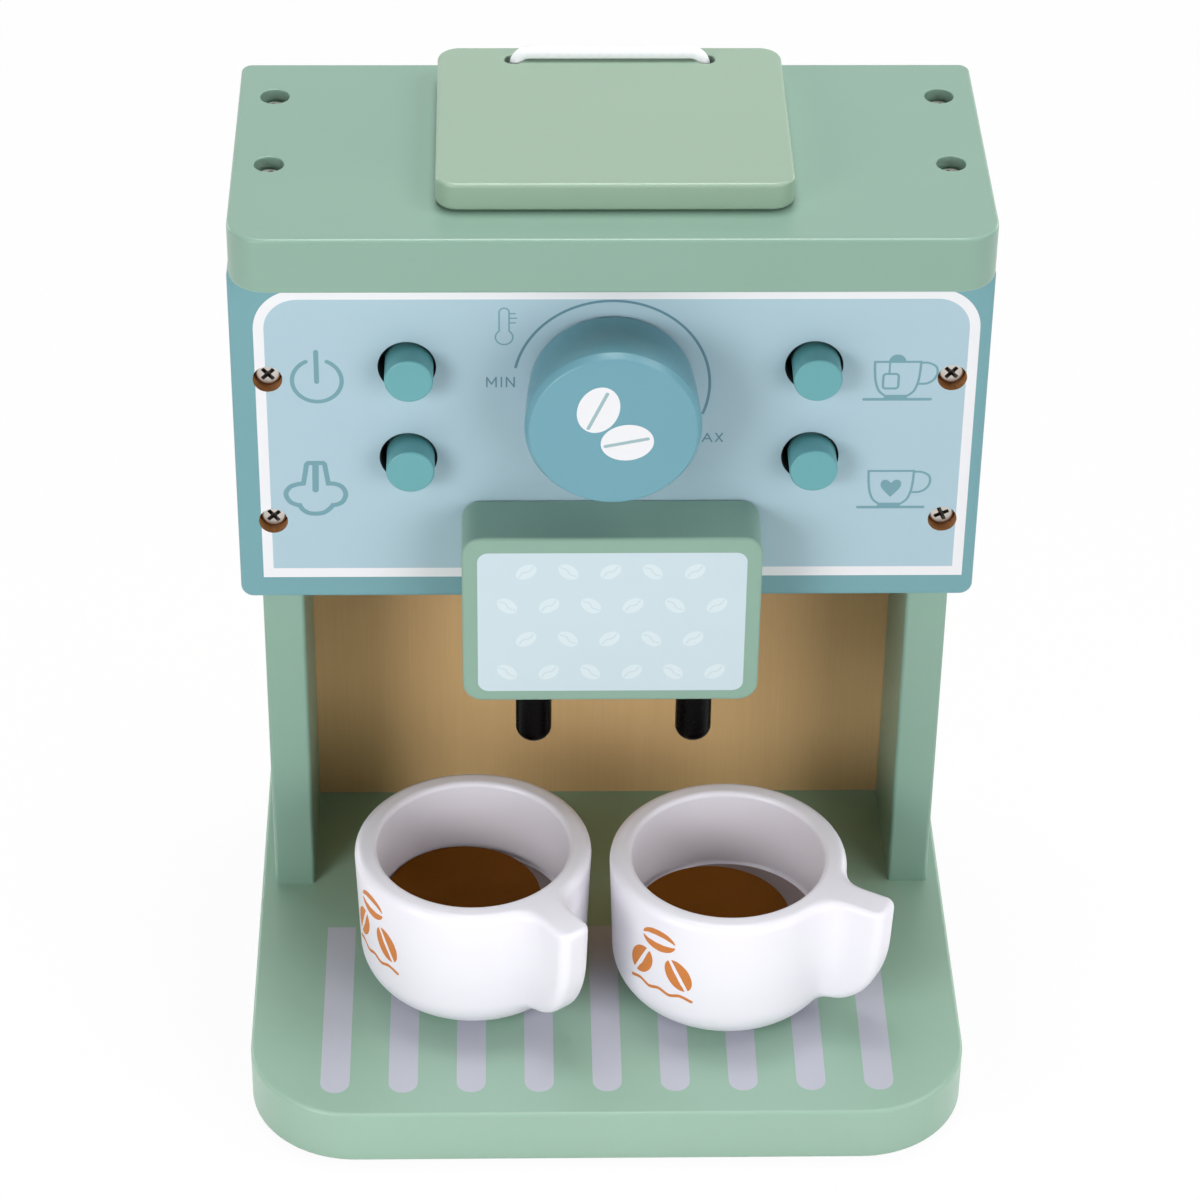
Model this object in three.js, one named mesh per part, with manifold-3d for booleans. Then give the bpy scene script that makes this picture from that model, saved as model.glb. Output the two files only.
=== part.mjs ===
// Toy coffee maker of painted wood: a base, two side boards, a top with a lid on an elastic cord, a front
// panel with a turning knob and four sprung push buttons, a spout block with two nozzles, and two cups.
// Millimetres, +Z up, and the front faces -Y. The origin is the middle of the base's underside.
import * as THREE from "three";
import { mergeVertices } from "three/addons/utils/BufferGeometryUtils.js";
import Module from "manifold-3d";

const wasm = await Module();
wasm.setup();

// Clearances and edges
const fitGap = 0.3; // between pieces that sit in or turn in each other
const cutOverrun = 1; // how far a cut runs past the face that it opens
const softEdge = 1.1; // sanded and painted edges of the boards
const sharpCorner = 1.6; // board corners that look square from above

// Base board
const baseWidth = 200;
const baseDepth = 169;
const baseThickness = 17;
const baseCornerRadius = 30; // the two front corners

// Side boards
const sideInset = 4; // from the base's side edges
const sideThickness = 11.6;
const sideDepth = 64;
const sideHeight = 218.7;
const sideRearInset = 5; // from the base's back edge

// Back board, held in a groove of each side board
const backThickness = 4;
const backRecess = 16.8; // from the back edges of the side boards
const grooveDepth = 3;

// Inner shelf, the floor of the space behind the front panel
const shelfThickness = 6;

// Top board
const topSideOverhang = 4; // past the side boards
const topDepth = 95.2;
const topThickness = 16;
const topCornerRadius = 10.5; // the two front corners
const topRearOverhang = 5;

// Front panel
const panelSideOverhang = 5; // past the side boards
const panelHeight = 106.2;
const panelThickness = 12;
const panelCornerRadius = 3.5;

// Lid, and the filling hole under it
const lidWidth = 93.5;
const lidDepth = 75.4;
const lidThickness = 7.8;
const lidCornerRadius = 6;
const lidRearInset = 5.4; // from the top board's back edge
const lidShift = 0.65; // the lid lies a little to the right
const fillingLap = 15; // the lid reaches this far past the filling hole at each side
const fillingRim = 5; // board left in front of and behind the filling hole
const fillingCornerRadius = 6;

// Elastic cord that hinges the lid
const cordRadius = 1.7;
const cordBendRadius = 2.6;
const cordHoleSpacing = 52.2;
const cordHoleInset = 7; // from the lid's back edge
const cordHoleSlack = 0.85; // hole radius over cord radius
const cordKnotRadius = 3.6;
const cordKnotHeight = 5.6;

// Knob
const knobBackRadius = 22;
const knobRadius = 23.4;
const knobLength = 22.5;
const knobEdgeRadius = 1.1; // rounding across the front edge
const knobEdgeDepth = 2.7; // rounding along the knob
const knobPanelGap = 0.5;
const knobDrop = 37; // from the panel's top edge to the knob's axis
const knobShift = 0.3;
const axleRadius = 5;
const axleSocketDepth = 12;
const washerRadius = 9;
const washerThickness = 1.6;

// Push buttons
const buttonRadius = 6.4;
const buttonSlack = 1.1; // hole radius over button radius
const buttonShift = 0.6; // each loose button rests to the right in its hole
const buttonProud = 5.8;
const buttonEdge = 0.9;
const buttonColumnInset = 46.8; // from the panel's side edges
const buttonTopDrop = 31.2; // from the panel's top edge to the upper row
const buttonRowPitch = 28.8;
const flangeLap = 1.6; // the flange behind the panel reaches this far past the hole
const flangeThickness = 3;

// Springs behind the buttons, and the carriers that they push against
const springLength = 10.4;
const springRadius = 4.4; // to the middle of the wire
const springWireRadius = 0.45;
const springTurns = 4;
const carrierThickness = 4;
const carrierMargin = 3; // clear space beside a flange
const spacerWidth = 5;

// Spout block
const blockWidth = 81.2;
const blockDepth = 19;
const blockHeight = 54.4;
const blockCornerRadius = 5.5;
const blockShift = 0.6;
const blockKnobGap = 13.5; // from the knob's rim down to the block

// Nozzles
const nozzleRadius = 5;
const nozzleTipRadius = 4;
const nozzleLength = 27;
const nozzleSocketDepth = 8;
const nozzleSpacing = 44.6;
const nozzleShift = 1.3; // from the block's middle

// Cups, each one piece with its handle
const cupRadius = 33.3;
const cupHeight = 45;
const cupWall = 6.2;
const cupTaper = 0.2; // the hollow's radius is this much smaller at its floor
const cupFloorDepth = 25.4; // from the rim to the hollow's floor
const cupDraft = 1.1; // the wall is this much narrower where the rounded bottom starts
const cupBottomRadius = 13;
const cupRimRadius = 2.6; // outer edge of the rim
const cupMouthRadius = 1.5; // inner edge of the rim
const cupGap = 5; // between the two cups
const cupPairShift = -1.7;
const leftCupSetback = 29.7; // from the base's front edge
const rightCupSetback = 24.7;
const leftHandleDegrees = -53.7;
const rightHandleDegrees = -29.2;
const leftHandleReach = 15.7; // past the cup's wall
const rightHandleReach = 16.9;
const handleThickness = 10;
const handleFillet = 8.5;
const handleSweepLength = 17.5; // the round lower corner of the handle
const handleSweepHeight = 23.8;
const handleSweepKnee = 8.8; // how far up the sweep its lower curve aims
const handleLean = 0.6; // the end leans in this much from the rim to the sweep
const handleRise = 8.2; // the handle's lowest point over the cup's underside
const handleEdge = 1.8;
const handleCorner = 2.5; // upright corners of the end

// Coffee discs, glued in the cups, each against the hollow's wall on one side
const coffeeThickness = 4;
const coffeeSlack = 4.6; // hollow radius over disc radius
const leftCoffeeDegrees = 135; // the way the disc lies off the cup's middle
const rightCoffeeDegrees = 200;
const coffeeEdge = 0.5;

// Wood screws
const shankRadius = 1.5;
const screwPointLength = 3;
const screwHeadRadius = 3.3;
const screwHeadHeight = 2;
const crossWidth = 0.9;
const crossLength = 3.8;
const crossDepth = 1.2;
const counterboreRadius = 3.95;
const frontSeatDepth = 4.7; // from the board's face to the screw's seat
const frontScrewLength = 20; // under the head
const frontScrewTopInset = 35;
const frontScrewBottomInset = 25.5;
const frontScrewShift = 1.1; // outwards from the middle of the side board
const boardSeatDepth = 5.2;
const boardScrewLength = 22;
const boardScrewInset = 13.5; // from the edges of the side board
const blockSeatDepth = 2.6;
const blockScrewLength = 20;
const blockScrewInset = 15; // from the ends of the block
const knobScrewLength = 12;

// Facets
const edgeSteps = 2;
const cornerSteps = 2; // a round corner has twice as many facets
const bigCornerSteps = 3;
const profileSteps = 4; // of the larger rounded ends
const screwFacets = 10;
const holeFacets = 14;
const roundFacets = 20;
const wideFacets = 32; // of the knob and the cups
const springSteps = 28;
const springArcSteps = 3; // a wire or cord has twice as many sides
const cordSteps = 44;
const cordArcSteps = 4;

// Places that follow from the sizes
const quarterTurn = Math.PI / 2;
const caseWidth = baseWidth - 2 * sideInset;
const topWidth = caseWidth + 2 * topSideOverhang;
const panelWidth = caseWidth + 2 * panelSideOverhang;
const buttonColumnOffset = panelWidth / 2 - buttonColumnInset;
const sideBackY = baseDepth / 2 - sideRearInset;
const sideFrontY = sideBackY - sideDepth;
const sideMiddleY = (sideFrontY + sideBackY) / 2;
const sideMiddleX = (caseWidth - sideThickness) / 2;
const sideInnerX = caseWidth / 2 - sideThickness;
const sideTopZ = baseThickness + sideHeight;
const topBackY = sideBackY + topRearOverhang;
const topTopZ = sideTopZ + topThickness;
const backBoardBackY = sideBackY - backRecess;
const backBoardFrontY = backBoardBackY - backThickness;
const panelFaceY = sideFrontY - panelThickness;
const panelBottomZ = sideTopZ - panelHeight;
const lidBottomZ = topTopZ + fitGap;
const lidTopZ = lidBottomZ + lidThickness;
const lidBackY = topBackY - lidRearInset;
const cordHoleRadius = cordRadius + cordHoleSlack;
const cordHoleX = cordHoleSpacing / 2;
const cordLegX = cordHoleX - cordHoleSlack + fitGap; // the legs are pulled towards each other
const cordY = lidBackY - cordHoleInset;
const cordTopZ = lidTopZ + cordRadius + fitGap;
const knobZ = sideTopZ - knobDrop;
const buttonTopZ = sideTopZ - buttonTopDrop;
const buttonBottomZ = buttonTopZ - buttonRowPitch;
const buttonHoleRadius = buttonRadius + buttonSlack;
const flangeRadius = buttonHoleRadius + flangeLap;
const flangeFrontY = sideFrontY + fitGap;
const flangeBackY = flangeFrontY + flangeThickness;
const carrierFrontY = flangeBackY + springLength;
const carrierHalfWidth = flangeRadius + carrierMargin + spacerWidth;
const carrierHeight = buttonRowPitch + 2 * (flangeRadius + carrierMargin);
const blockTopZ = knobZ - knobRadius - blockKnobGap;
const blockBottomZ = blockTopZ - blockHeight;
const blockScrewX = blockWidth / 2 - blockScrewInset;
const cupFloorZ = cupHeight - cupFloorDepth;
const cupFootRadius = cupRadius - cupDraft;
const cupInnerRadius = cupRadius - cupWall;
const cupFloorRadius = cupInnerRadius - cupTaper;

// Finishes
const finish = (color, roughness, metalness = 0) =>
  new THREE.MeshStandardMaterial({ color, roughness, metalness });
const sagePaint = finish(0xa3beab, 0.5);
const palePaint = finish(0xaec6b2, 0.5);
const tealPaint = finish(0x7fafb6, 0.5);
const buttonPaint = finish(0x6eafb2, 0.5);
const knobPaint = finish(0x7dabbb, 0.5);
const whitePaint = finish(0xeff0f5, 0.35);
const coffeePaint = finish(0x4a2b0f, 0.6);
const blackPaint = finish(0x0c0a0a, 0.3);
const bareWood = finish(0xc8a97f, 0.75);
const elastic = finish(0xf6f6f8, 0.8);
const nickel = finish(0xc9c4bf, 0.3, 1);

// A mesh with its name and its place.
function piece(name, geometry, material, place = [0, 0, 0]) {
  geometry.computeVertexNormals();
  const mesh = new THREE.Mesh(geometry, material);
  mesh.name = name;
  mesh.position.set(...place);
  return mesh;
}

// Pieces that share a place.
function assembly(place, pieces) {
  const group = new THREE.Group();
  group.position.set(...place);
  group.add(...pieces);
  return group;
}

// A geometry as a manifold solid, and back.
function solidOf(geometry) {
  const bare = geometry.clone();
  bare.deleteAttribute("normal");
  bare.deleteAttribute("uv");
  const merged = mergeVertices(bare);
  return new wasm.Manifold(
    new wasm.Mesh({
      numProp: 3,
      vertProperties: merged.attributes.position.array,
      triVerts: new Uint32Array(merged.index.array),
    }),
  );
}

function geometryOf(solid) {
  const mesh = solid.getMesh();
  const geometry = new THREE.BufferGeometry();
  geometry.setAttribute("position", new THREE.BufferAttribute(mesh.vertProperties, mesh.numProp));
  geometry.setIndex(new THREE.BufferAttribute(mesh.triVerts, 1));
  return geometry;
}

// A body with tools cut out of it.
const cut = (geometry, tools) =>
  geometryOf(tools.reduce((rest, tool) => rest.subtract(solidOf(tool)), solidOf(geometry)));

// A rectangle about the origin. Its two lower corners have one radius and its two upper corners another.
function roundedRectangle(width, height, lowRadius, highRadius) {
  const right = width / 2;
  const high = height / 2;
  const shape = new THREE.Shape();
  shape.moveTo(lowRadius - right, -high);
  shape.absarc(right - lowRadius, lowRadius - high, lowRadius, -quarterTurn, 0);
  shape.absarc(right - highRadius, high - highRadius, highRadius, 0, quarterTurn);
  shape.absarc(highRadius - right, high - highRadius, highRadius, quarterTurn, 2 * quarterTurn);
  shape.absarc(lowRadius - right, lowRadius - high, lowRadius, 2 * quarterTurn, 3 * quarterTurn);
  return shape;
}

// A board that lies flat with its underside at Z 0, its edges rounded by the soft radius.
const flatBoard = (shape, thickness, soft, curveSegments) =>
  new THREE.ExtrudeGeometry(shape, {
    depth: thickness - 2 * soft,
    bevelEnabled: soft > 0,
    bevelThickness: soft,
    bevelSize: soft,
    bevelOffset: -soft,
    bevelSegments: edgeSteps,
    curveSegments,
  }).translate(0, 0, soft);

// The same board stood up, with its front face at Y 0.
const uprightBoard = (shape, thickness, soft, curveSegments) =>
  flatBoard(shape, thickness, soft, curveSegments).rotateX(quarterTurn).translate(0, thickness, 0);

// A body turned about Y. The profile's pairs of radius and height start and end on the axis.
const turned = (profile, facets) =>
  new THREE.LatheGeometry(profile.map(([radius, height]) => new THREE.Vector2(radius, height)), facets);

const rod = (radius, length, facets) =>
  turned([[0, 0], [radius, 0], [radius, length], [0, length]], facets);

// Profile points round the outer edge of an end at the given height.
const roundedEdge = (radius, height, across, along, steps) =>
  Array.from({ length: steps + 1 }, (_, i) => {
    const angle = (quarterTurn * i) / steps;
    return [radius - across + across * Math.cos(angle), height - along + along * Math.sin(angle)];
  });

// Angles about X that point the +Y end of a turned body to the front, up, down or to the back.
const toFront = Math.PI;
const toTop = quarterTurn;
const toBottom = -quarterTurn;
const toBack = 0;

const sides = [["left", -1], ["right", 1]];

// Screws: each has its name, the way its head points, its length, its seat's depth and its seat's place.
const screwRow = (kind, turn, length, seatDepth, places) =>
  places.map(([place, ...at]) => ({ name: `${kind}_screw_${place}`, turn, length, seatDepth, at }));

const boardScrewPlaces = (seatZ) =>
  sides.flatMap(([side, sign]) => [
    [`front_${side}`, sign * sideMiddleX, sideFrontY + boardScrewInset, seatZ],
    [`back_${side}`, sign * sideMiddleX, sideBackY - boardScrewInset, seatZ],
  ]);

const frontScrewX = sideMiddleX + frontScrewShift;
const frontSeatY = panelFaceY + frontSeatDepth;
const frontScrewPlaces = sides.flatMap(([side, sign]) => [
  [`upper_${side}`, sign * frontScrewX, frontSeatY, sideTopZ - frontScrewTopInset],
  [`lower_${side}`, sign * frontScrewX, frontSeatY, panelBottomZ + frontScrewBottomInset],
]);

const blockScrewPlaces = sides.map(([side, sign]) => [
  side,
  blockShift + sign * blockScrewX,
  sideFrontY - blockSeatDepth,
  (blockTopZ + panelBottomZ) / 2,
]);

const topScrewPlaces = boardScrewPlaces(topTopZ - boardSeatDepth);
const baseScrewPlaces = boardScrewPlaces(boardSeatDepth);
const topScrews = screwRow("top", toTop, boardScrewLength, boardSeatDepth, topScrewPlaces);
const baseScrews = screwRow("base", toBottom, boardScrewLength, boardSeatDepth, baseScrewPlaces);
const frontScrews = screwRow("front", toFront, frontScrewLength, frontSeatDepth, frontScrewPlaces);
const blockScrews = screwRow("block", toBack, blockScrewLength, blockSeatDepth, blockScrewPlaces);

// A screw with the underside of its head at the origin and its head towards +Y.
function woodScrew(length) {
  const body = turned(
    [
      [0, -length],
      [shankRadius, screwPointLength - length],
      [shankRadius, 0],
      [screwHeadRadius, 0],
      ...roundedEdge(screwHeadRadius, screwHeadHeight, screwHeadRadius / 2, screwHeadHeight / 2, edgeSteps),
      [0, screwHeadHeight],
    ],
    screwFacets,
  );
  const slots = [0, quarterTurn].map((angle) =>
    new THREE.BoxGeometry(crossLength, 2 * crossDepth, crossWidth)
      .rotateY(angle)
      .translate(0, screwHeadHeight, 0),
  );
  return cut(body, slots);
}

// The stepped hole for that screw.
const screwHole = ({ length, seatDepth }) =>
  turned(
    [
      [0, -length - fitGap],
      [shankRadius + fitGap, -length - fitGap],
      [shankRadius + fitGap, 0],
      [counterboreRadius, 0],
      [counterboreRadius, seatDepth + cutOverrun],
      [0, seatDepth + cutOverrun],
    ],
    holeFacets,
  );

const screwCut = (screw) => screwHole(screw).rotateX(screw.turn).translate(...screw.at);

function screwPiece({ name, turn, length, at }) {
  const screw = piece(name, woodScrew(length), nickel, at);
  screw.rotation.x = turn;
  return screw;
}

function baseBoard() {
  const outline = roundedRectangle(baseWidth, baseDepth, baseCornerRadius, sharpCorner);
  const board = flatBoard(outline, baseThickness, softEdge, bigCornerSteps);
  return piece("base_board", cut(board, baseScrews.map(screwCut)), palePaint);
}

// A side board stands on the base. The groove in its inner face holds the back board.
function sideBoard([side, sign]) {
  const outline = roundedRectangle(sideThickness, sideDepth, softEdge, softEdge);
  const board = flatBoard(outline, sideHeight, 0, 1);
  board.translate(sign * sideMiddleX, sideMiddleY, baseThickness);
  const reach = cutOverrun + grooveDepth + fitGap;
  const groove = new THREE.BoxGeometry(reach, backThickness + 2 * fitGap, sideHeight + 2 * cutOverrun);
  groove.translate(
    sign * (sideInnerX - cutOverrun + reach / 2),
    backBoardBackY - backThickness / 2,
    baseThickness + sideHeight / 2,
  );
  const screws = [...topScrews, ...baseScrews, ...frontScrews].filter(({ at }) => at[0] * sign > 0);
  return piece(`side_board_${side}`, cut(board, [groove, ...screws.map(screwCut)]), sagePaint);
}

function backBoard() {
  const board = new THREE.BoxGeometry(2 * (sideInnerX + grooveDepth), backThickness, sideHeight);
  board.translate(0, backBoardBackY - backThickness / 2, baseThickness + sideHeight / 2);
  return piece("back_board", board, bareWood);
}

function innerShelf() {
  const depth = backBoardFrontY - sideFrontY;
  const board = new THREE.BoxGeometry(2 * sideInnerX, depth, shelfThickness);
  board.translate(0, sideFrontY + depth / 2, panelBottomZ + shelfThickness / 2);
  return piece("inner_shelf", board, bareWood);
}

// The two holes for the cord, as tools that pass through a board.
const cordHoles = (bottomZ, thickness) =>
  sides.map(([, sign]) =>
    rod(cordHoleRadius, thickness + 2 * cutOverrun, holeFacets)
      .rotateX(toTop)
      .translate(lidShift + sign * cordHoleX, cordY, bottomZ - cutOverrun),
  );

function topBoard() {
  const outline = roundedRectangle(topWidth, topDepth, topCornerRadius, sharpCorner);
  const board = flatBoard(outline, topThickness, softEdge, cornerSteps);
  board.translate(0, topBackY - topDepth / 2, sideTopZ);
  const fillingOutline = roundedRectangle(
    lidWidth - 2 * fillingLap,
    backBoardFrontY - sideFrontY - 2 * fillingRim,
    fillingCornerRadius,
    fillingCornerRadius,
  );
  const fillingHole = flatBoard(fillingOutline, topThickness + 2 * cutOverrun, 0, cornerSteps);
  fillingHole.translate(lidShift, (sideFrontY + backBoardFrontY) / 2, sideTopZ - cutOverrun);
  const tools = [fillingHole, ...cordHoles(sideTopZ, topThickness), ...topScrews.map(screwCut)];
  return piece("top_board", cut(board, tools), sagePaint);
}

function lidBoard() {
  const outline = roundedRectangle(lidWidth, lidDepth, lidCornerRadius, lidCornerRadius);
  const board = flatBoard(outline, lidThickness, softEdge, cornerSteps);
  board.translate(lidShift, lidBackY - lidDepth / 2, lidBottomZ);
  return piece("lid_board", cut(board, cordHoles(lidBottomZ, lidThickness)), palePaint);
}

// The round section of a wire or cord, drawn along a path.
const drawn = (radius, extrudePath, steps, curveSegments) =>
  new THREE.ExtrudeGeometry(new THREE.Shape().absarc(0, 0, radius, 0, 2 * Math.PI), {
    steps,
    extrudePath,
    curveSegments,
  });

// The cord comes up through the top board and the lid, crosses the lid and goes down again.
// A knot at each end keeps it under the top board.
function lidCord() {
  const at = (x, z) => new THREE.Vector3(x, 0, z);
  const endZ = sideTopZ - cordKnotHeight / 2;
  const bendX = cordLegX - cordBendRadius;
  const bendZ = cordTopZ - cordBendRadius;
  const bend = (sign, from, to) => new THREE.QuadraticBezierCurve3(from, at(sign * cordLegX, cordTopZ), to);
  const path = new THREE.CurvePath();
  path.add(new THREE.LineCurve3(at(-cordLegX, endZ), at(-cordLegX, bendZ)));
  path.add(bend(-1, at(-cordLegX, bendZ), at(-bendX, cordTopZ)));
  path.add(new THREE.LineCurve3(at(-bendX, cordTopZ), at(bendX, cordTopZ)));
  path.add(bend(1, at(bendX, cordTopZ), at(cordLegX, bendZ)));
  path.add(new THREE.LineCurve3(at(cordLegX, bendZ), at(cordLegX, endZ)));
  const knotTopZ = sideTopZ - fitGap;
  const knotProfile = [
    [0, 0],
    [cordKnotRadius / 2, 0],
    ...roundedEdge(cordKnotRadius, cordKnotHeight, cordKnotRadius / 2, cordKnotHeight, profileSteps),
    [0, cordKnotHeight],
  ];
  const cord = sides.reduce((rest, [, sign]) => {
    const knot = turned(knotProfile, screwFacets).rotateX(toTop);
    return rest.add(solidOf(knot.translate(sign * cordLegX, 0, knotTopZ - cordKnotHeight)));
  }, solidOf(drawn(cordRadius, path, cordSteps, cordArcSteps)));
  return piece("lid_cord", geometryOf(cord), elastic, [lidShift, cordY, 0]);
}

// The buttons are named after the symbols printed beside them.
const buttons = [
  ["power", -buttonColumnOffset, buttonTopZ],
  ["steam", -buttonColumnOffset, buttonBottomZ],
  ["tea", buttonColumnOffset, buttonTopZ],
  ["coffee", buttonColumnOffset, buttonBottomZ],
];

function frontPanel() {
  const outline = roundedRectangle(panelWidth, panelHeight, panelCornerRadius, panelCornerRadius);
  const board = uprightBoard(outline, panelThickness, softEdge, edgeSteps);
  board.translate(0, panelFaceY, panelBottomZ + panelHeight / 2);
  const hole = (radius, x, z) =>
    rod(radius, panelThickness + 2 * cutOverrun, roundFacets).translate(x, panelFaceY - cutOverrun, z);
  const tools = [
    hole(axleRadius + fitGap, knobShift, knobZ),
    ...buttons.map(([, x, z]) => hole(buttonHoleRadius, x, z)),
    ...[...frontScrews, ...blockScrews].map(screwCut),
  ];
  return piece("front_panel", cut(board, tools), tealPaint);
}

// The knob widens a little towards its face and has a socket for the axle in its back.
function knob() {
  const body = turned(
    [
      [0, axleSocketDepth],
      [axleRadius + fitGap, axleSocketDepth],
      [axleRadius + fitGap, 0],
      [knobBackRadius - softEdge, 0],
      [knobBackRadius, softEdge],
      ...roundedEdge(knobRadius, knobLength, knobEdgeRadius, knobEdgeDepth, profileSteps),
      [0, knobLength],
    ],
    wideFacets,
  );
  return piece("knob", body.rotateX(toFront), knobPaint, [0, -knobPanelGap, 0]);
}

// The knob on its axle, which turns in the panel and is held by a washer and a screw behind it.
function knobAssembly() {
  const axleFrontY = fitGap - knobPanelGap - axleSocketDepth;
  const washerFrontY = panelThickness + fitGap;
  const washerBackY = washerFrontY + washerThickness;
  const pilot = screwHole({ length: knobScrewLength, seatDepth: 0 }).translate(0, washerBackY, 0);
  const axle = rod(axleRadius, washerFrontY - axleFrontY, roundFacets).translate(0, axleFrontY, 0);
  const washer = rod(washerRadius, washerThickness, roundFacets).translate(0, washerFrontY, 0);
  return assembly([knobShift, panelFaceY, knobZ], [
    knob(),
    piece("knob_axle", cut(axle, [pilot]), bareWood),
    piece("knob_washer", cut(washer, [pilot]), nickel),
    piece("knob_screw", woodScrew(knobScrewLength), nickel, [0, washerBackY, 0]),
  ]);
}

// The middle line of a coil spring about Y.
class Coil extends THREE.Curve {
  constructor(radius, length, turns) {
    super();
    Object.assign(this, { radius, length, turns });
  }
  getPoint(t, target = new THREE.Vector3()) {
    const angle = 2 * Math.PI * this.turns * t;
    return target.set(this.radius * Math.cos(angle), this.length * t, this.radius * Math.sin(angle));
  }
}

// A button is a dowel with a flange behind the panel, and a spring behind the flange.
function pushButton([symbol, x, z]) {
  const length = buttonProud + panelThickness + fitGap + flangeThickness;
  const profile = [
    [0, 0],
    [flangeRadius, 0],
    [flangeRadius, flangeThickness],
    [buttonRadius, flangeThickness],
    ...roundedEdge(buttonRadius, length, buttonEdge, buttonEdge, edgeSteps),
    [0, length],
  ];
  const springInset = springWireRadius + fitGap;
  const coil = new Coil(springRadius, springLength - 2 * springInset, springTurns);
  const spring = drawn(springWireRadius, coil, springSteps, springArcSteps);
  return assembly([x + buttonShift, flangeBackY, z], [
    piece(`button_${symbol}`, turned(profile, roundFacets).rotateX(toFront), buttonPaint),
    piece(`button_spring_${symbol}`, spring, nickel, [0, springInset, 0]),
  ]);
}

// The carrier behind a column of buttons, on two spacers glued to the back of the panel.
function springCarrier([side, sign]) {
  const spacerDepth = carrierFrontY - sideFrontY;
  const spacerX = carrierHalfWidth - spacerWidth / 2;
  const board = new THREE.BoxGeometry(2 * carrierHalfWidth, carrierThickness, carrierHeight);
  const boardY = spacerDepth + carrierThickness / 2;
  const spacer = (place, x) => {
    const body = new THREE.BoxGeometry(spacerWidth, spacerDepth, carrierHeight);
    return piece(`spacer_${place}_${side}`, body, bareWood, [x, spacerDepth / 2, 0]);
  };
  return assembly([sign * buttonColumnOffset, sideFrontY, (buttonTopZ + buttonBottomZ) / 2], [
    piece(`spring_carrier_${side}`, board, bareWood, [0, boardY, 0]),
    spacer("inner", -sign * spacerX),
    spacer("outer", sign * spacerX),
  ]);
}

const nozzlePlaces = sides.map(([side, sign]) => ({
  side,
  x: blockShift + nozzleShift + (sign * nozzleSpacing) / 2,
  y: panelFaceY - blockDepth / 2,
}));

function spoutBlock() {
  const outline = roundedRectangle(blockWidth, blockHeight, blockCornerRadius, blockCornerRadius);
  const body = uprightBoard(outline, blockDepth, softEdge, cornerSteps);
  body.translate(blockShift, panelFaceY - blockDepth, blockTopZ - blockHeight / 2);
  const sockets = nozzlePlaces.map(({ x, y }) =>
    rod(nozzleRadius + fitGap, nozzleSocketDepth + cutOverrun, roundFacets)
      .rotateX(toTop)
      .translate(x, y, blockBottomZ - cutOverrun),
  );
  return piece("spout_block", cut(body, [...sockets, ...blockScrews.map(screwCut)]), sagePaint);
}

function nozzle({ side, x, y }) {
  const profile = [
    [0, 0],
    [nozzleRadius, 0],
    ...roundedEdge(nozzleRadius, nozzleLength, nozzleTipRadius, nozzleTipRadius, profileSteps),
    [0, nozzleLength],
  ];
  const topZ = blockBottomZ + nozzleSocketDepth - fitGap;
  return piece(`nozzle_${side}`, turned(profile, roundFacets).rotateX(toBottom), blackPaint, [x, y, topZ]);
}

// The cup without its hollow: a rounded bottom, a straight wall and a rounded rim.
function cupForm() {
  const bottom = Array.from({ length: profileSteps + 1 }, (_, i) => {
    const angle = (quarterTurn * i) / profileSteps;
    return [
      cupFootRadius - cupBottomRadius * (1 - Math.sin(angle)),
      cupBottomRadius * (1 - Math.cos(angle)),
    ];
  });
  const rim = roundedEdge(cupRadius, cupHeight, cupRimRadius, cupRimRadius, edgeSteps);
  return turned([[0, 0], ...bottom, ...rim, [0, cupHeight]], wideFacets).rotateX(toTop);
}

const cupHollow = () =>
  turned(
    [
      [0, cupFloorZ],
      [cupFloorRadius, cupFloorZ],
      [cupInnerRadius, cupHeight - cupMouthRadius],
      [cupInnerRadius + cupMouthRadius, cupHeight],
      [cupInnerRadius + cupMouthRadius, cupHeight + cutOverrun],
      [0, cupHeight + cutOverrun],
    ],
    wideFacets,
  ).rotateX(toTop);

// The handle from above: a slab along +X that flares into the cup's wall.
function handlePlan(endX) {
  const half = handleThickness / 2;
  const flareY = half + handleFillet;
  const flareX = Math.sqrt((cupFootRadius + handleFillet) ** 2 - flareY ** 2);
  const flareTurn = Math.atan2(flareX, flareY);
  const rootY = cupFootRadius * Math.cos(flareTurn);
  const plan = new THREE.Shape();
  plan.moveTo(0, -rootY);
  plan.absarc(flareX, -flareY, handleFillet, quarterTurn + flareTurn, quarterTurn, true);
  plan.lineTo(endX - handleCorner, -half);
  plan.quadraticCurveTo(endX, -half, endX, handleCorner - half);
  plan.lineTo(endX, half - handleCorner);
  plan.quadraticCurveTo(endX, half, endX - handleCorner, half);
  plan.absarc(flareX, flareY, handleFillet, -quarterTurn, -quarterTurn - flareTurn, true);
  plan.lineTo(0, rootY);
  return flatBoard(plan, cupHeight, 0, profileSteps);
}

// The handle from the side: level with the rim, its end leaning in a little and swept back below.
function handleSide(endX) {
  const width = handleThickness + 2 * handleFillet + 2 * cutOverrun;
  const sweepTopZ = handleRise + handleSweepHeight;
  const side = new THREE.Shape();
  side.moveTo(0, handleRise);
  side.lineTo(endX - handleSweepLength, handleRise);
  side.bezierCurveTo(
    endX - handleSweepLength / 2, handleRise,
    endX - 2 * handleLean, handleRise + handleSweepKnee,
    endX - handleLean, sweepTopZ,
  );
  side.lineTo(endX, cupHeight - handleEdge);
  side.lineTo(endX - handleEdge, cupHeight);
  side.lineTo(0, cupHeight);
  return uprightBoard(side, width, 0, profileSteps).translate(0, -width / 2, 0);
}

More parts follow.
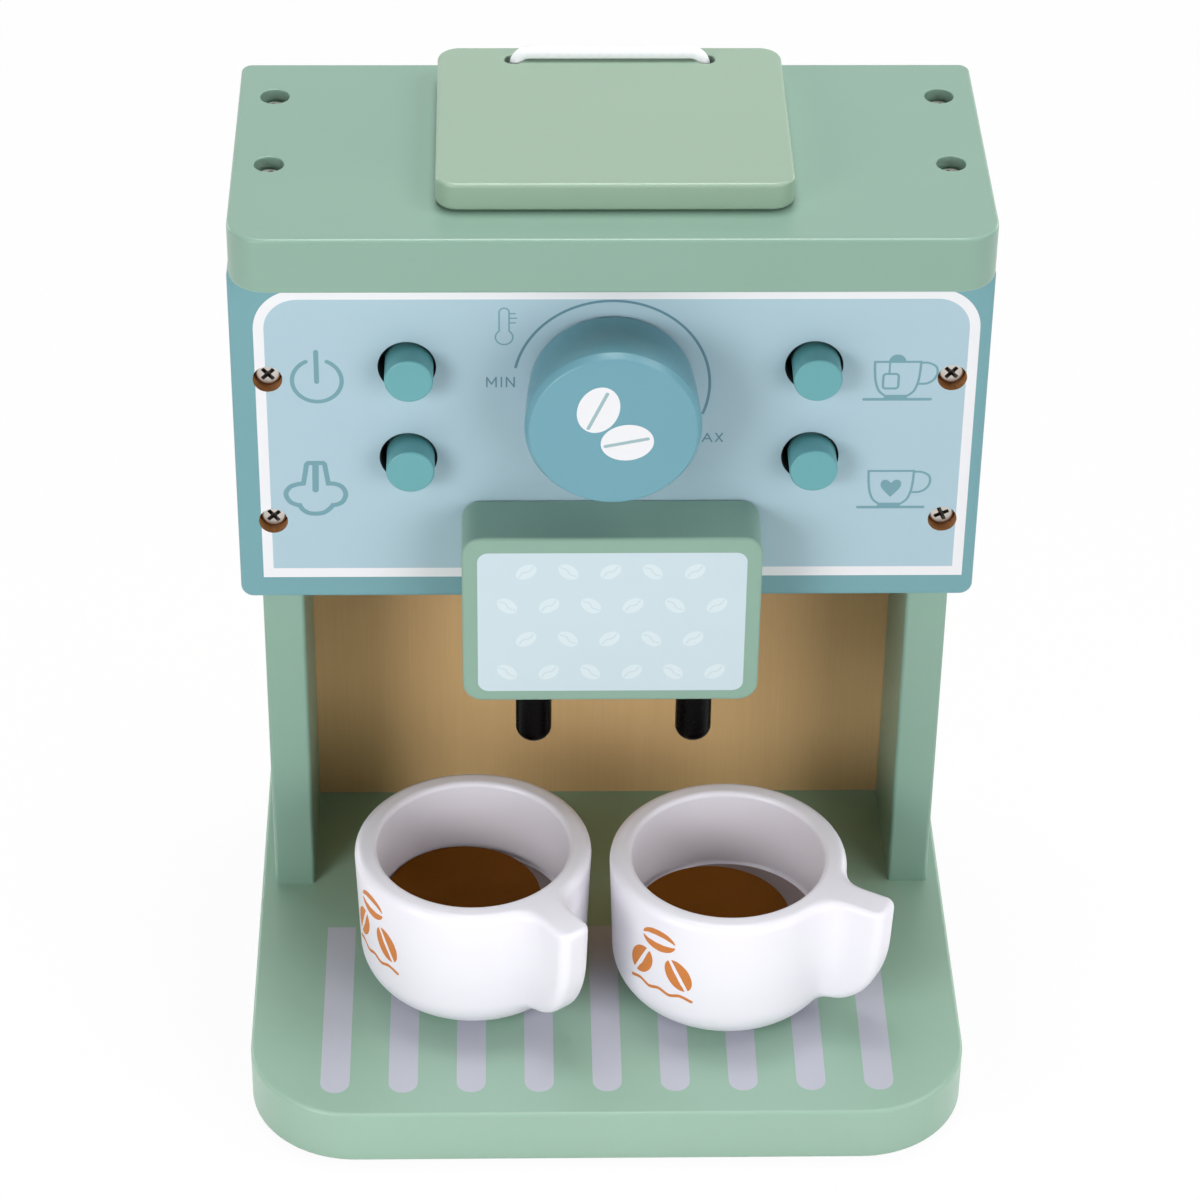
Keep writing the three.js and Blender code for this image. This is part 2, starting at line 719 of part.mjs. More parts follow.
function cupPiece({ side, handleDegrees, handleReach }) {
  const endX = cupRadius + handleReach;
  const handle = solidOf(handlePlan(endX)).intersect(solidOf(handleSide(endX)));
  const body = solidOf(cupForm()).add(handle).subtract(solidOf(cupHollow()));
  const cup = piece(`cup_${side}`, geometryOf(body), whitePaint);
  cup.rotation.z = THREE.MathUtils.degToRad(handleDegrees);
  return cup;
}

function coffeeDisc({ side, coffeeDegrees }) {
  const radius = cupFloorRadius - coffeeSlack;
  const profile = [
    [0, 0],
    [radius, 0],
    ...roundedEdge(radius, coffeeThickness, coffeeEdge, coffeeEdge, edgeSteps),
    [0, coffeeThickness],
  ];
  const body = turned(profile, wideFacets).rotateX(toTop).translate(coffeeSlack - fitGap, 0, 0);
  const disc = piece(`coffee_disc_${side}`, body, coffeePaint, [0, 0, cupFloorZ]);
  disc.rotation.z = THREE.MathUtils.degToRad(coffeeDegrees);
  return disc;
}

// Each cup stands on the base with its coffee disc in it.
const cups = [
  {
    side: "left",
    sign: -1,
    setback: leftCupSetback,
    handleDegrees: leftHandleDegrees,
    handleReach: leftHandleReach,
    coffeeDegrees: leftCoffeeDegrees,
  },
  {
    side: "right",
    sign: 1,
    setback: rightCupSetback,
    handleDegrees: rightHandleDegrees,
    handleReach: rightHandleReach,
    coffeeDegrees: rightCoffeeDegrees,
  },
];

function cupAssembly(cup) {
  const x = cupPairShift + cup.sign * (cupGap / 2 + cupRadius);
  const y = cup.setback + cupRadius - baseDepth / 2;
  return assembly([x, y, baseThickness], [cupPiece(cup), coffeeDisc(cup)]);
}

const group = new THREE.Group();
group.add(
  baseBoard(),
  ...sides.map(sideBoard),
  backBoard(),
  innerShelf(),
  topBoard(),
  frontPanel(),
  lidBoard(),
  lidCord(),
  knobAssembly(),
  ...buttons.map(pushButton),
  ...sides.map(springCarrier),
  spoutBlock(),
  ...nozzlePlaces.map(nozzle),
  ...[...topScrews, ...baseScrews, ...frontScrews, ...blockScrews].map(screwPiece),
  ...cups.map(cupAssembly),
);

export default group;
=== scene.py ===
import math

import bpy
import numpy as np
from mathutils import Matrix, Vector
from mathutils.geometry import delaunay_2d_cdt


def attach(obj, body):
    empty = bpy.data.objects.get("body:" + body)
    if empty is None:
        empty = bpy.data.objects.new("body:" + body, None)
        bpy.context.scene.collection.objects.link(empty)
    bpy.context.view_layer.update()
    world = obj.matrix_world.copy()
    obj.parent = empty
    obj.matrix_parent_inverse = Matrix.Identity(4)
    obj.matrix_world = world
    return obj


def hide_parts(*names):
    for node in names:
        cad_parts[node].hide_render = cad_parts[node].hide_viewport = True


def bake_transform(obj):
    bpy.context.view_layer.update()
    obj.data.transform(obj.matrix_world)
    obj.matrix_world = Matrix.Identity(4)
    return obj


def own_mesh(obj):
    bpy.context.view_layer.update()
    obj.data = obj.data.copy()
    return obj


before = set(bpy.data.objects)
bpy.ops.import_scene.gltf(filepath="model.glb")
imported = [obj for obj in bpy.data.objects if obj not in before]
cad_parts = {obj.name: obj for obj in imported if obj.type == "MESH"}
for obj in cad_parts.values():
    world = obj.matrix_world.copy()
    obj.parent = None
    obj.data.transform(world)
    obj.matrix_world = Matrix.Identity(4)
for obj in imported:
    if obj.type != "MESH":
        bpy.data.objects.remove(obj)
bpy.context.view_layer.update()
print("frame loaded")

# Sizes below are millimetres in the part's own frame: X to the right, Y to the back, Z up from the table.
metresPerMm = 0.001


# Materials

def linear(hexColour):
    parts = [int(hexColour[i:i + 2], 16) / 255 for i in (1, 3, 5)]
    return tuple(p / 12.92 if p <= 0.04045 else ((p + 0.055) / 1.055) ** 2.4 for p in parts) + (1.0,)


def addNode(tree, kind, settings=None, links=None):
    node = tree.nodes.new(kind)
    for name, value in (settings or {}).items():
        if isinstance(name, int) or name in node.inputs:
            node.inputs[name].default_value = value
        else:
            setattr(node, name, value)
    for name, (source, output) in (links or {}).items():
        tree.links.new(source.outputs[output], node.inputs[name])
    return node


def emptyTree(owner):
    owner.use_nodes = True
    owner.node_tree.nodes.clear()
    return owner.node_tree


def newMaterial(name, settings):
    material = bpy.data.materials.new(name)
    tree = emptyTree(material)
    shader = addNode(tree, "ShaderNodeBsdfPrincipled", settings)
    addNode(tree, "ShaderNodeOutputMaterial", links={"Surface": (shader, 0)})
    place = addNode(tree, "ShaderNodeTexCoord")
    return material, tree, shader, place


def perMetre(sizeInMm):
    return 1 / (sizeInMm * metresPerMm)


noiseSpan = {"From Min": 0.3, "From Max": 0.7}  # where nearly all of the noise texture's values lie


# A finish whose tone drifts a little over a patch, with a fine relief and a roughness that varies with it.
def coated(name, hexColour, look, settings=None):
    material, tree, shader, place = newMaterial(name, settings or {})
    patches = addNode(tree, "ShaderNodeTexNoise", {"Scale": perMetre(look["patch"]), "Detail": 3.0},
                      {"Vector": (place, "Object")})
    level = addNode(tree, "ShaderNodeMapRange",
                    {**noiseSpan, "To Min": 1 - look["drift"], "To Max": 1 + look["drift"]},
                    {"Value": (patches, 0)})
    tone = addNode(tree, "ShaderNodeHueSaturation", {"Color": linear(hexColour)}, {"Value": (level, 0)})
    tree.links.new(tone.outputs[0], shader.inputs["Base Color"])
    relief = addNode(tree, "ShaderNodeTexNoise", {"Scale": perMetre(look["relief"]), "Detail": 2.0},
                     {"Vector": (place, "Object")})
    bump = addNode(tree, "ShaderNodeBump",
                   {"Strength": look["strength"], "Distance": look["depth"] * metresPerMm},
                   {"Height": (relief, 0)})
    tree.links.new(bump.outputs[0], shader.inputs["Normal"])
    rough = addNode(tree, "ShaderNodeMapRange",
                    {**noiseSpan, "To Min": look["roughness"] - look["roughDrift"],
                     "To Max": look["roughness"] + look["roughDrift"]},
                    {"Value": (relief, 0)})
    tree.links.new(rough.outputs[0], shader.inputs["Roughness"])
    return material


# Water-based paint sprayed on sanded MDF: satin enough to mirror a board's edge softly, with a faint
# orange peel about two millimetres across.
sprayedLook = {"patch": 55, "drift": 0.014, "relief": 2.2, "strength": 0.06, "depth": 0.03,
               "roughness": 0.34, "roughDrift": 0.02}
sagePaint = coated("sage paint sprayed on MDF", "#81a191", sprayedLook)
palePaint = coated("pale sage paint sprayed on MDF", "#93b3a0", sprayedLook)
lidPaint = coated("yellower sage paint sprayed on MDF", "#8fa894", sprayedLook)
tealPaint = coated("teal paint sprayed on MDF", "#69989f", sprayedLook)

# Screen ink printed on the paint: a thin even film, flatter than the paint below it.
inkLook = {"patch": 40, "drift": 0.01, "relief": 0.9, "strength": 0.12, "depth": 0.04,
           "roughness": 0.52, "roughDrift": 0.03}
dullShine = {"Specular IOR Level": 0.3}
skyInk = coated("pale blue screen ink", "#a2bbc6", inkLook, dullShine)
whiteInk = coated("white screen ink", "#dedee1", inkLook, dullShine)
tealInk = coated("teal screen ink", "#6c959f", inkLook, dullShine)
slateInk = coated("slate screen ink", "#5e8391", inkLook, dullShine)
lilacInk = coated("grey lilac screen ink", "#b8bac5", inkLook, dullShine)
ashInk = coated("ash teal screen ink", "#93aeb2", inkLook, dullShine)
mistInk = coated("mist blue screen ink", "#beced5", inkLook, dullShine)
frostInk = coated("frost screen ink", "#cbd8dc", inkLook, dullShine)
amberInk = coated("amber pad-printed ink", "#cd7d3c", inkLook, dullShine)

# Paint on turned beech: satin, smoother than on board, so that edges catch a thin bright line.
turnedLook = {"patch": 30, "drift": 0.012, "relief": 1.4, "strength": 0.12, "depth": 0.04,
              "roughness": 0.44, "roughDrift": 0.03}
buttonPaint = coated("teal paint on turned beech", "#5c9ba0",
                     {**turnedLook, "relief": 2.2, "strength": 0.06, "roughness": 0.32})
knobPaint = coated("blue teal paint on turned beech", "#6497a5", {**turnedLook, "roughness": 0.34})

# White enamel on turned and carved wood: closed and satin, so the cups show soft highlights.
enamelLook = {"patch": 40, "drift": 0.006, "relief": 2.2, "strength": 0.10, "depth": 0.05,
              "roughness": 0.34, "roughDrift": 0.03}
cupEnamel = coated("white enamel on turned wood", "#edeaf2", enamelLook)

# The same enamel, browner and darker, on the cup's floor and round its fillet: painted shade that keeps the gap
# round the disc dark.
shadeDarkEnamel = coated("enamel darkened as painted shade", "#8f7f79", enamelLook)

# Brown paint brushed on a sawn disc: flat and almost without shine, with the brush's unevenness.
brushedLook = {"patch": 14, "drift": 0.06, "relief": 1.6, "strength": 0.25, "depth": 0.08,
               "roughness": 0.6, "roughDrift": 0.06}
coffeePaint = coated("brown paint brushed on wood", "#6f3f05", brushedLook, {"Specular IOR Level": 0.06})

# Black gloss lacquer on dowel: very dark, with faint narrow highlights.
glossLook = {"patch": 20, "drift": 0.02, "relief": 2.5, "strength": 0.12, "depth": 0.03,
             "roughness": 0.28, "roughDrift": 0.03}
blackLacquer = coated("black gloss lacquer on dowel", "#040303", glossLook, {"Specular IOR Level": 0.06})

# Raw MDF inside the drilled seats: brown fibre about half a millimetre long, quite flat.
rawLook = {"patch": 0.9, "drift": 0.2, "relief": 0.5, "strength": 0.5, "depth": 0.12,
           "roughness": 0.88, "roughDrift": 0.06}
rawMdf = coated("raw drilled MDF", "#9f6e42", rawLook)

# The button holes' walls, darkened almost to black as painted shade: they keep the gap round each button nearly
# black.
shadeDarkMdf = coated("scorched drilled MDF", "#1c1a1a", rawLook)

# Zinc-plated steel: the plating's grain breaks the highlight up a little.
zincLook = {"patch": 3, "drift": 0.05, "relief": 0.5, "strength": 0.12, "depth": 0.02,
            "roughness": 0.36, "roughDrift": 0.07}
zincSteel = coated("zinc-plated steel", "#d3cec7", zincLook, {"Metallic": 1.0})

# Zinc plating in the driver recess, dull and darkened as painted shade, so the cross reads as black.
recessLook = {"patch": 2, "drift": 0.1, "relief": 0.4, "strength": 0.2, "depth": 0.03,
              "roughness": 0.55, "roughDrift": 0.08}
shadedRecessSteel = coated("oiled zinc in the recess", "#5c5752", recessLook, {"Metallic": 1.0})

# Spring wire: drawn and plated, with a tighter highlight than the screws.
wireLook = {"patch": 2, "drift": 0.04, "relief": 0.3, "strength": 0.08, "depth": 0.01,
            "roughness": 0.22, "roughDrift": 0.05}
springSteel = coated("drawn spring steel", "#c8c6c3", wireLook, {"Metallic": 1.0})


# Sanded poplar plywood, unpainted: a plain warm tan whose long fibres hardly show.
def sandedPly(name, light, dark, grain):
    material, tree, shader, place = newMaterial(name, {})
    stretch = addNode(tree, "ShaderNodeMapping", {"Scale": tuple(perMetre(g) for g in grain["fibre"])},
                      {"Vector": (place, "Object")})
    fibre = addNode(tree, "ShaderNodeTexNoise", {"Scale": 1.0, "Detail": 6.0, "Roughness": 0.62},
                    {"Vector": (stretch, 0)})
    wide = addNode(tree, "ShaderNodeMapping", {"Scale": tuple(perMetre(g) for g in grain["band"])},
                   {"Vector": (place, "Object")})
    band = addNode(tree, "ShaderNodeTexNoise", {"Scale": 1.0, "Detail": 2.0}, {"Vector": (wide, 0)})
    both = addNode(tree, "ShaderNodeMath", {"operation": "MULTIPLY_ADD", 1: 0.55}, {0: (fibre, 0)})
    share = addNode(tree, "ShaderNodeMath", {"operation": "MULTIPLY", 1: 0.45}, {0: (band, 0)})
    tree.links.new(share.outputs[0], both.inputs[2])
    clear = addNode(tree, "ShaderNodeMapRange", {"From Min": 0.36, "From Max": 0.64}, {"Value": (both, 0)})
    tone = addNode(tree, "ShaderNodeMix", {"data_type": "RGBA", 6: linear(light), 7: linear(dark)},
                   {0: (clear, 0)})
    tree.links.new(tone.outputs[2], shader.inputs["Base Color"])
    bump = addNode(tree, "ShaderNodeBump", {"Strength": 0.25, "Distance": 0.06 * metresPerMm},
                   {"Height": (fibre, 0)})
    tree.links.new(bump.outputs[0], shader.inputs["Normal"])
    rough = addNode(tree, "ShaderNodeMapRange", {"To Min": 0.66, "To Max": 0.8}, {"Value": (fibre, 0)})
    tree.links.new(rough.outputs[0], shader.inputs["Roughness"])
    return material


poplarPly = sandedPly("sanded poplar plywood", "#d5b07e", "#cfaa78",
                      {"fibre": (0.7, 0.7, 34), "band": (9, 9, 190)})
beechRod = sandedPly("sanded beech dowel", "#d8b890", "#c6a277", {"fibre": (0.5, 12, 0.5), "band": (4, 60, 4)})


# Braided elastic: white polyester yarn laid both ways round a rubber core, so it shows a fine herringbone, with
# a slightly darker tone in the grooves as painted shade.
def braided(name, hexColour, grooveShadeHex, braid):
    material, tree, shader, place = newMaterial(name, {"Roughness": 0.78, "Sheen Weight": 0.25})
    height = None
    for turn in (1, -1):
        slant = addNode(tree, "ShaderNodeMapping", {"Scale": (braid["yarns"], turn / braid["pitch"], 1)},
                        {"Vector": (place, "UV")})
        lay = addNode(tree, "ShaderNodeTexWave",
                      {"wave_type": "BANDS", "bands_direction": "DIAGONAL", "Scale": 0.3142, "Distortion": 0.0},
                      {"Vector": (slant, 0)})
        if height is None:
            height = lay
        else:
            height = addNode(tree, "ShaderNodeMath", {"operation": "MAXIMUM"}, {0: (height, 1), 1: (lay, 1)})
    # The grooves take the slightly darker tone: painted shade between the yarns.
    tone = addNode(tree, "ShaderNodeMix",
                   {"data_type": "RGBA", 6: linear(grooveShadeHex), 7: linear(hexColour)}, {0: (height, 0)})
    tree.links.new(tone.outputs[2], shader.inputs["Base Color"])
    bump = addNode(tree, "ShaderNodeBump", {"Strength": 0.12, "Distance": 0.1 * metresPerMm},
                   {"Height": (height, 0)})
    tree.links.new(bump.outputs[0], shader.inputs["Normal"])
    return material


# The yarn is drawn about 0.7 mm wide, twice the real width, so that it shows at this distance.
elasticBraid = braided("white braided elastic", "#efeff3", "#ebebf0", {"yarns": 8, "pitch": 1.4})
print("materials made")


# Outlines: each is a function of how far it is drawn in, and gives points anticlockwise.
sharpest = 0.04  # the smallest radius that a drawn-in corner keeps


# The two corners at the low end have one radius, and those at the high end may have another.
def roundedOutline(width, height, low, centre=(0, 0), steps=8, high=None):
    high = low if high is None else high
    corners = ((low, (1, -1), -90), (high, (1, 1), 0), (high, (-1, 1), 90), (low, (-1, -1), 180))

    def drawnIn(inset=0.0):
        points = []
        for radius, (sideX, sideY), start in corners:
            bend = max(radius - inset, sharpest)
            middle = (centre[0] + sideX * (width / 2 - inset - bend),
                      centre[1] + sideY * (height / 2 - inset - bend))
            for k in range(steps + 1):
                angle = math.radians(start + 90 * k / steps)
                points.append((middle[0] + bend * math.cos(angle), middle[1] + bend * math.sin(angle)))
        return points
    return drawnIn


def roundOutline(radius, centre=(0, 0), count=48):
    angles = [2 * math.pi * k / count for k in range(count)]

    def drawnIn(inset=0.0):
        return [(centre[0] + (radius - inset) * math.cos(a), centre[1] + (radius - inset) * math.sin(a))
                for a in angles]
    return drawnIn


def fixedOutline(points):
    return lambda inset=0.0: points


# Shells: points, faces and material numbers of one piece, in the piece's own millimetres.

def newShell():
    return {"points": [], "faces": [], "slots": [], "splits": {}}


def addRing(shell, outline, height):
    first = len(shell["points"])
    shell["points"] += [(x, y, height) for x, y in outline]
    return list(range(first, len(shell["points"])))


def bridge(shell, first, second, slot=0):
    count = len(first)
    for k in range(count):
        n = (k + 1) % count
        shell["faces"].append((first[k], first[n], second[n], second[k]))
        shell["slots"].append(slot)


# Rings at (inset, height) rows, joined in order. Outer walls go up and the walls of holes go down.
def wall(shell, outline, rows, slot=0):
    rings = [addRing(shell, outline(inset), height) for inset, height in rows]
    for first, second in zip(rings, rings[1:]):
        bridge(shell, first, second, slot)
    return rings


def insideLoops(points, loops):
    inside = np.zeros(len(points), bool)
    for loop in loops:
        ring = np.asarray(loop, float)[:, :2]
        for (x1, y1), (x2, y2) in zip(ring, np.roll(ring, -1, axis=0)):
            if y1 != y2:
                crosses = (points[:, 1] < y1) != (points[:, 1] < y2)
                inside ^= crosses & (points[:, 0] < x1 + (points[:, 1] - y1) * (x2 - x1) / (y2 - y1))
    return inside


# A flat face between an outer ring and the rings of holes. Each print is (material number, loops), and a
# later one lies over an earlier one. Ring edges that a print crosses are split, and the walls follow.
def fillFace(shell, outer, holes=(), prints=(), slot=0, up=True, extra=()):
    rings = [outer, *holes]
    height = shell["points"][outer[0]][2]
    coords, edges, owners = [], [], []
    for ring in rings:
        start = len(coords)
        coords += [Vector(shell["points"][i][:2]) for i in ring]
        owners += ring
        edges += [(start + k, start + (k + 1) % len(ring)) for k in range(len(ring))]
    ringEdges = len(edges)
    for _, loops in prints:
        for loop in loops:
            start = len(coords)
            coords += [Vector((float(p[0]), float(p[1]))) for p in loop]
            edges += [(start + k, start + (k + 1) % len(loop)) for k in range(len(loop))]
    coords += [Vector(p) for p in extra]
    spots, links, faces, fromPoints, fromEdges, _ = delaunay_2d_cdt(coords, edges, [], 0, 1e-5, True)
    flat = np.array([(p.x, p.y) for p in spots])
    faces = np.array(faces)
    middles = flat[faces].mean(axis=1)
    keep = insideLoops(middles, [[shell["points"][i] for i in outer]])
    for hole in holes:
        keep &= ~insideLoops(middles, [[shell["points"][i] for i in hole]])
    slots = np.full(len(faces), slot)
    for number, loops in prints:
        slots[insideLoops(middles, loops)] = number
    index = {}
    for k, sources in enumerate(fromPoints):
        known = [owners[s] for s in sources if s < len(owners)]
        if known:
            index[k] = known[0]
    used = set(faces[keep].ravel().tolist())
    for k in sorted(used):
        if k not in index:
            index[k] = len(shell["points"])
            shell["points"].append((flat[k][0], flat[k][1], height))
    for (a, b), sources in zip(links, fromEdges):
        for source in sources:
            if source < ringEdges:
                one, two = (owners[e] for e in edges[source])
                for k in (a, b):
                    if k in used and index[k] not in (one, two):
                        shell["splits"].setdefault((one, two), set()).add(index[k])
    for face, number in zip(faces[keep], slots[keep]):
        p, q, r = flat[face]
        turn = (q[0] - p[0]) * (r[1] - p[1]) - (q[1] - p[1]) * (r[0] - p[0])
        corners = [index[k] for k in face]
        shell["faces"].append(tuple(corners if (turn > 0) == up else corners[::-1]))
        shell["slots"].append(int(number))


# Faces with the extra corners that a print left on their edges.
def closedFaces(shell):
    splits = {}
    for (one, two), extras in shell["splits"].items():
        start = np.array(shell["points"][one])
        ordered = sorted(extras, key=lambda i: np.linalg.norm(np.array(shell["points"][i]) - start))
        splits[one, two] = ordered
        splits[two, one] = ordered[::-1]
    result = []
    for face in shell["faces"]:
        corners = []
        for k, corner in enumerate(face):
            corners.append(corner)
            corners += splits.get((corner, face[(k + 1) % len(face)]), [])
        result.append(corners)
    return result


# Closes a shell of rings with its two flat faces, and makes the walls of its holes. Each hole has an outline,
# rows from its upper to its lower end, the faces it opens in and its material number. A blind end gets a floor.
def closeShell(shell, rings, holes, prints):
    mouths = {"top": [], "bottom": []}
    for hole in holes:
        holeRings = wall(shell, hole["outline"], hole["rows"], hole["slot"])
        for end, ring in (("top", holeRings[0]), ("bottom", holeRings[-1])):
            if hole["opens"] in (end, "both"):
                mouths[end].append(ring)
            else:
                fillFace(shell, ring, slot=hole["slot"], up=end == "bottom")
    fillFace(shell, rings[-1], mouths["top"], prints)
    fillFace(shell, rings[0], mouths["bottom"], up=False)
    return shell


def quarterTurn(steps):
    return [math.pi / 2 * k / steps for k in range(steps + 1)]


# Rows (inset, height) of a rounding, from the flat face at 0 to the upright wall.
def softRows(soft, steps):
    return [(soft * (1 - math.sin(t)), soft * (1 - math.cos(t))) for t in quarterTurn(steps)]


# A board with its underside at 0. A flat strip beside each rounded edge keeps the faces' shading flat.
def boardShell(outline, thickness, soft, holes=(), prints=(), strip=0.25):
    low = [(soft + strip, 0)] + softRows(soft, 6) if soft else [(0, 0)]
    shell = newShell()
    rings = wall(shell, outline, low + [(inset, thickness - height) for inset, height in reversed(low)])
    return closeShell(shell, rings, holes, prints)


# A turned shape from (radius, height) rows that go up, closed by a flat face at each end.
def turnedShell(rows, count=64, holes=(), prints=()):
    shell = newShell()
    rings = wall(shell, roundOutline(0, count=count), [(-radius, height) for radius, height in rows])
    return closeShell(shell, rings, holes, prints)


# Rows round the outer edge of an end at a height, going up, with the flat strip.
def edgeRows(radius, height, across, along, steps=6, strip=0.2):
    rows = [(radius - across * (1 - math.cos(t)), height - along * (1 - math.sin(t)))
            for t in quarterTurn(steps)]
    return rows + [(radius - across - strip, height)]


# A round tube along a path, with its length in millimetres and its turn as a UV map.
def tubeShell(path, radius, sides=16, closed=False):
    path = np.asarray(path, float)
    ahead = np.roll(path, -1, axis=0) - np.roll(path, 1, axis=0)
    if not closed:
        ahead[0], ahead[-1] = path[1] - path[0], path[-1] - path[-2]
    ahead /= np.linalg.norm(ahead, axis=1)[:, None]
    side = np.cross(ahead[0], (0.0, 1.0, 0.0) if abs(ahead[0][1]) < 0.9 else (1.0, 0.0, 0.0))
    shell = newShell()
    rings = []
    for spot, way in zip(path, ahead):
        side = side - way * side.dot(way)
        side /= np.linalg.norm(side)
        other = np.cross(way, side)
        first = len(shell["points"])
        for k in range(sides):
            angle = 2 * math.pi * k / sides
            shell["points"].append(tuple(spot + radius * (math.cos(angle) * side + math.sin(angle) * other)))
        rings.append(list(range(first, first + sides)))
    for first, second in zip(rings, rings[1:] + rings[:1] if closed else rings[1:]):
        bridge(shell, first, second)
    if not closed:
        shell["faces"] += [tuple(rings[0][::-1]), tuple(rings[-1])]
        shell["slots"] += [0, 0]
    steps = np.r_[0, np.cumsum(np.linalg.norm(np.diff(path, axis=0), axis=1))]
    shell["along"] = {i: steps[k] for k, ring in enumerate(rings) for i in ring}
    shell["round"] = {i: j / sides for ring in rings for j, i in enumerate(ring)}
    return shell


def joinShells(shells):
    whole = newShell()
    for shell in shells:
        first = len(whole["points"])
        whole["points"] += shell["points"]
        whole["faces"] += [tuple(first + i for i in face) for face in closedFaces(shell)]
        whole["slots"] += shell["slots"]
        for key in ("along", "round"):
            if key in shell:
                whole.setdefault(key, {}).update({first + i: v for i, v in shell[key].items()})
    return whole


def moved(shell, place):
    shell["points"] = [tuple(place @ Vector(p)) for p in shell["points"]]
    return shell


# Makes the object. place takes the piece's own millimetres to the part's.
def makePiece(name, shell, place, materials, sharpDegrees=35):
    spots = [place @ Vector(p) * metresPerMm for p in shell["points"]]
    mesh = bpy.data.meshes.new(name)
    mesh.from_pydata(spots, [], closedFaces(shell))
    for material in materials:
        mesh.materials.append(material)
    mesh.polygons.foreach_set("material_index", shell["slots"])
    if "along" in shell:
        layer = mesh.uv_layers.new(name="UVMap")
        for polygon in mesh.polygons:
            turns = [shell["round"][i] for i in polygon.vertices]
            lift = max(turns) - min(turns) > 0.5
            for loop, turn in zip(polygon.loop_indices, turns):
                vertex = mesh.loops[loop].vertex_index
                layer.data[loop].uv = (turn + 1 if lift and turn < 0.5 else turn, shell["along"][vertex])
    mesh.shade_smooth()
    mesh.set_sharp_from_angle(angle=math.radians(sharpDegrees))
    mesh.validate()
    piece = bpy.data.objects.new(name, mesh)
    bpy.context.scene.collection.objects.link(piece)
    return piece


def toFront(x, y, z):
    return Matrix.Translation((x, y, z)) @ Matrix.Rotation(math.pi / 2, 4, "X")  # own +z points to the front


def toBack(x, y, z):
    return Matrix.Translation((x, y, z)) @ Matrix.Rotation(-math.pi / 2, 4, "X")  # own +z points to the back


def downward(x, y, z):
    return Matrix.Translation((x, y, z)) @ Matrix.Rotation(math.pi, 4, "X")  # own +z points down


# Normals weighted by area keep the flat faces flat beside their rounded edges and the mouths of holes.
def dress(piece, body, slot, *nodes):
    weighted = piece.modifiers.new("weighted normals", "WEIGHTED_NORMAL")
    weighted.keep_sharp = True
    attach(piece, body)
    if nodes:
        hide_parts(*nodes)
    return piece


# Cuts the tools' shells, given in the part's own frame, out of a piece.
def drill(piece, tools):
    cutters = []
    for k, tool in enumerate(tools):
        cutter = makePiece(f"drill_{piece.name}_{k}", tool, Matrix(), [])
        modifier = piece.modifiers.new("drill", "BOOLEAN")
        modifier.operation, modifier.solver, modifier.object = "DIFFERENCE", "EXACT", cutter
        cutters.append(cutter)
    whole = piece.evaluated_get(bpy.context.evaluated_depsgraph_get())
    mesh = bpy.data.meshes.new_from_object(whole)
    piece.modifiers.clear()
    piece.data = mesh
    mesh.shade_smooth()
    mesh.set_sharp_from_angle(angle=math.radians(35))
    for cutter in cutters:
        bpy.data.objects.remove(cutter)


# Printed shapes. Their loops lie in the printed face's own x and y.

def arc(centre, radius, start, end, count=None):
    count = count or max(4, int(abs(end - start) / 6))
    return [(centre[0] + radius * math.cos(math.radians(start + (end - start) * k / count)),
             centre[1] + radius * math.sin(math.radians(start + (end - start) * k / count)))
            for k in range(count + 1)]


# Points turned by some degrees and then moved to a centre.
def tilted(points, centre, degrees):
    c, n = math.cos(math.radians(degrees)), math.sin(math.radians(degrees))
    return [(centre[0] + x * c - y * n, centre[1] + x * n + y * c) for x, y in points]


def ellipse(centre, across, along, tilt=0, count=56):
    turns = [2 * math.pi * k / count for k in range(count)]
    return tilted([(across * math.cos(a), along * math.sin(a)) for a in turns], centre, tilt)


# A smooth line through the points.
def curve(points, steps=6):
    spots = np.asarray(points, float)
    last = len(spots) - 1
    result = []
    for k in range(last):
        p = [spots[min(max(k + j, 0), last)] for j in (-1, 0, 1, 2)]
        for t in np.arange(steps) / steps:
            bend = 2 * p[0] - 5 * p[1] + 4 * p[2] - p[3]
            twist = 3 * p[1] - p[0] - 3 * p[2] + p[3]
            result.append(tuple(0.5 * (2 * p[1] + (p[2] - p[0]) * t + bend * t ** 2 + twist * t ** 3)))
    return result + [tuple(spots[-1])]


# The loops round a line of the given width: one with round ends, or two round a closed line.
def stroke(points, width, closed=False):
    spots = np.asarray(points, float)
    apart = np.linalg.norm(spots - np.roll(spots, 1, axis=0), axis=1) > 0.02  # leaves out doubled points
    spots = spots[apart if closed else apart | (np.arange(len(spots)) == 0)]
    ways = np.roll(spots, -1, axis=0) - spots
    ways = ways if closed else ways[:-1]
    ways /= np.linalg.norm(ways, axis=1)[:, None]
    before = np.roll(ways, 1, axis=0) if closed else np.vstack([ways[:1], ways])
    after = ways if closed else np.vstack([ways, ways[-1:]])
    offsets = []
    for a, b in zip(before, after):
        normal = np.array((-(a + b)[1], (a + b)[0]))
        normal /= max(np.linalg.norm(normal), 1e-6)
        offsets.append(normal / max(normal.dot((-a[1], a[0])), 0.5))
    offsets = np.array(offsets) * width / 2
    if closed:
        return [(spots + offsets).tolist(), (spots - offsets).tolist()]
    ends = []
    for spot, way in ((spots[-1], ways[-1]), (spots[0], -ways[0])):
        facing = math.degrees(math.atan2(way[1], way[0]))
        ends.append(arc(spot, width / 2, facing + 90, facing - 90, 8)[1:-1])
    return [[*(spots + offsets).tolist(), *ends[0], *(spots - offsets)[::-1].tolist(), *ends[1]]]


# Prints in one ink: number is its place among the piece's materials.
def ink(number, *shapes):
    return [(number, shape) for shape in shapes]


# Screws

screwSizes = {"head": 3.3, "height": 2.0, "edge": 0.45, "shank": 1.5, "pointLength": 3.0,
              "pointRadius": 0.25, "crossLength": 4.1, "crossWidth": 1.1, "crossDepth": 1.25}
screwHole = {"seatRadius": 3.95, "pilotRadius": 1.8, "step": 2.15}  # step: seat radius less pilot radius


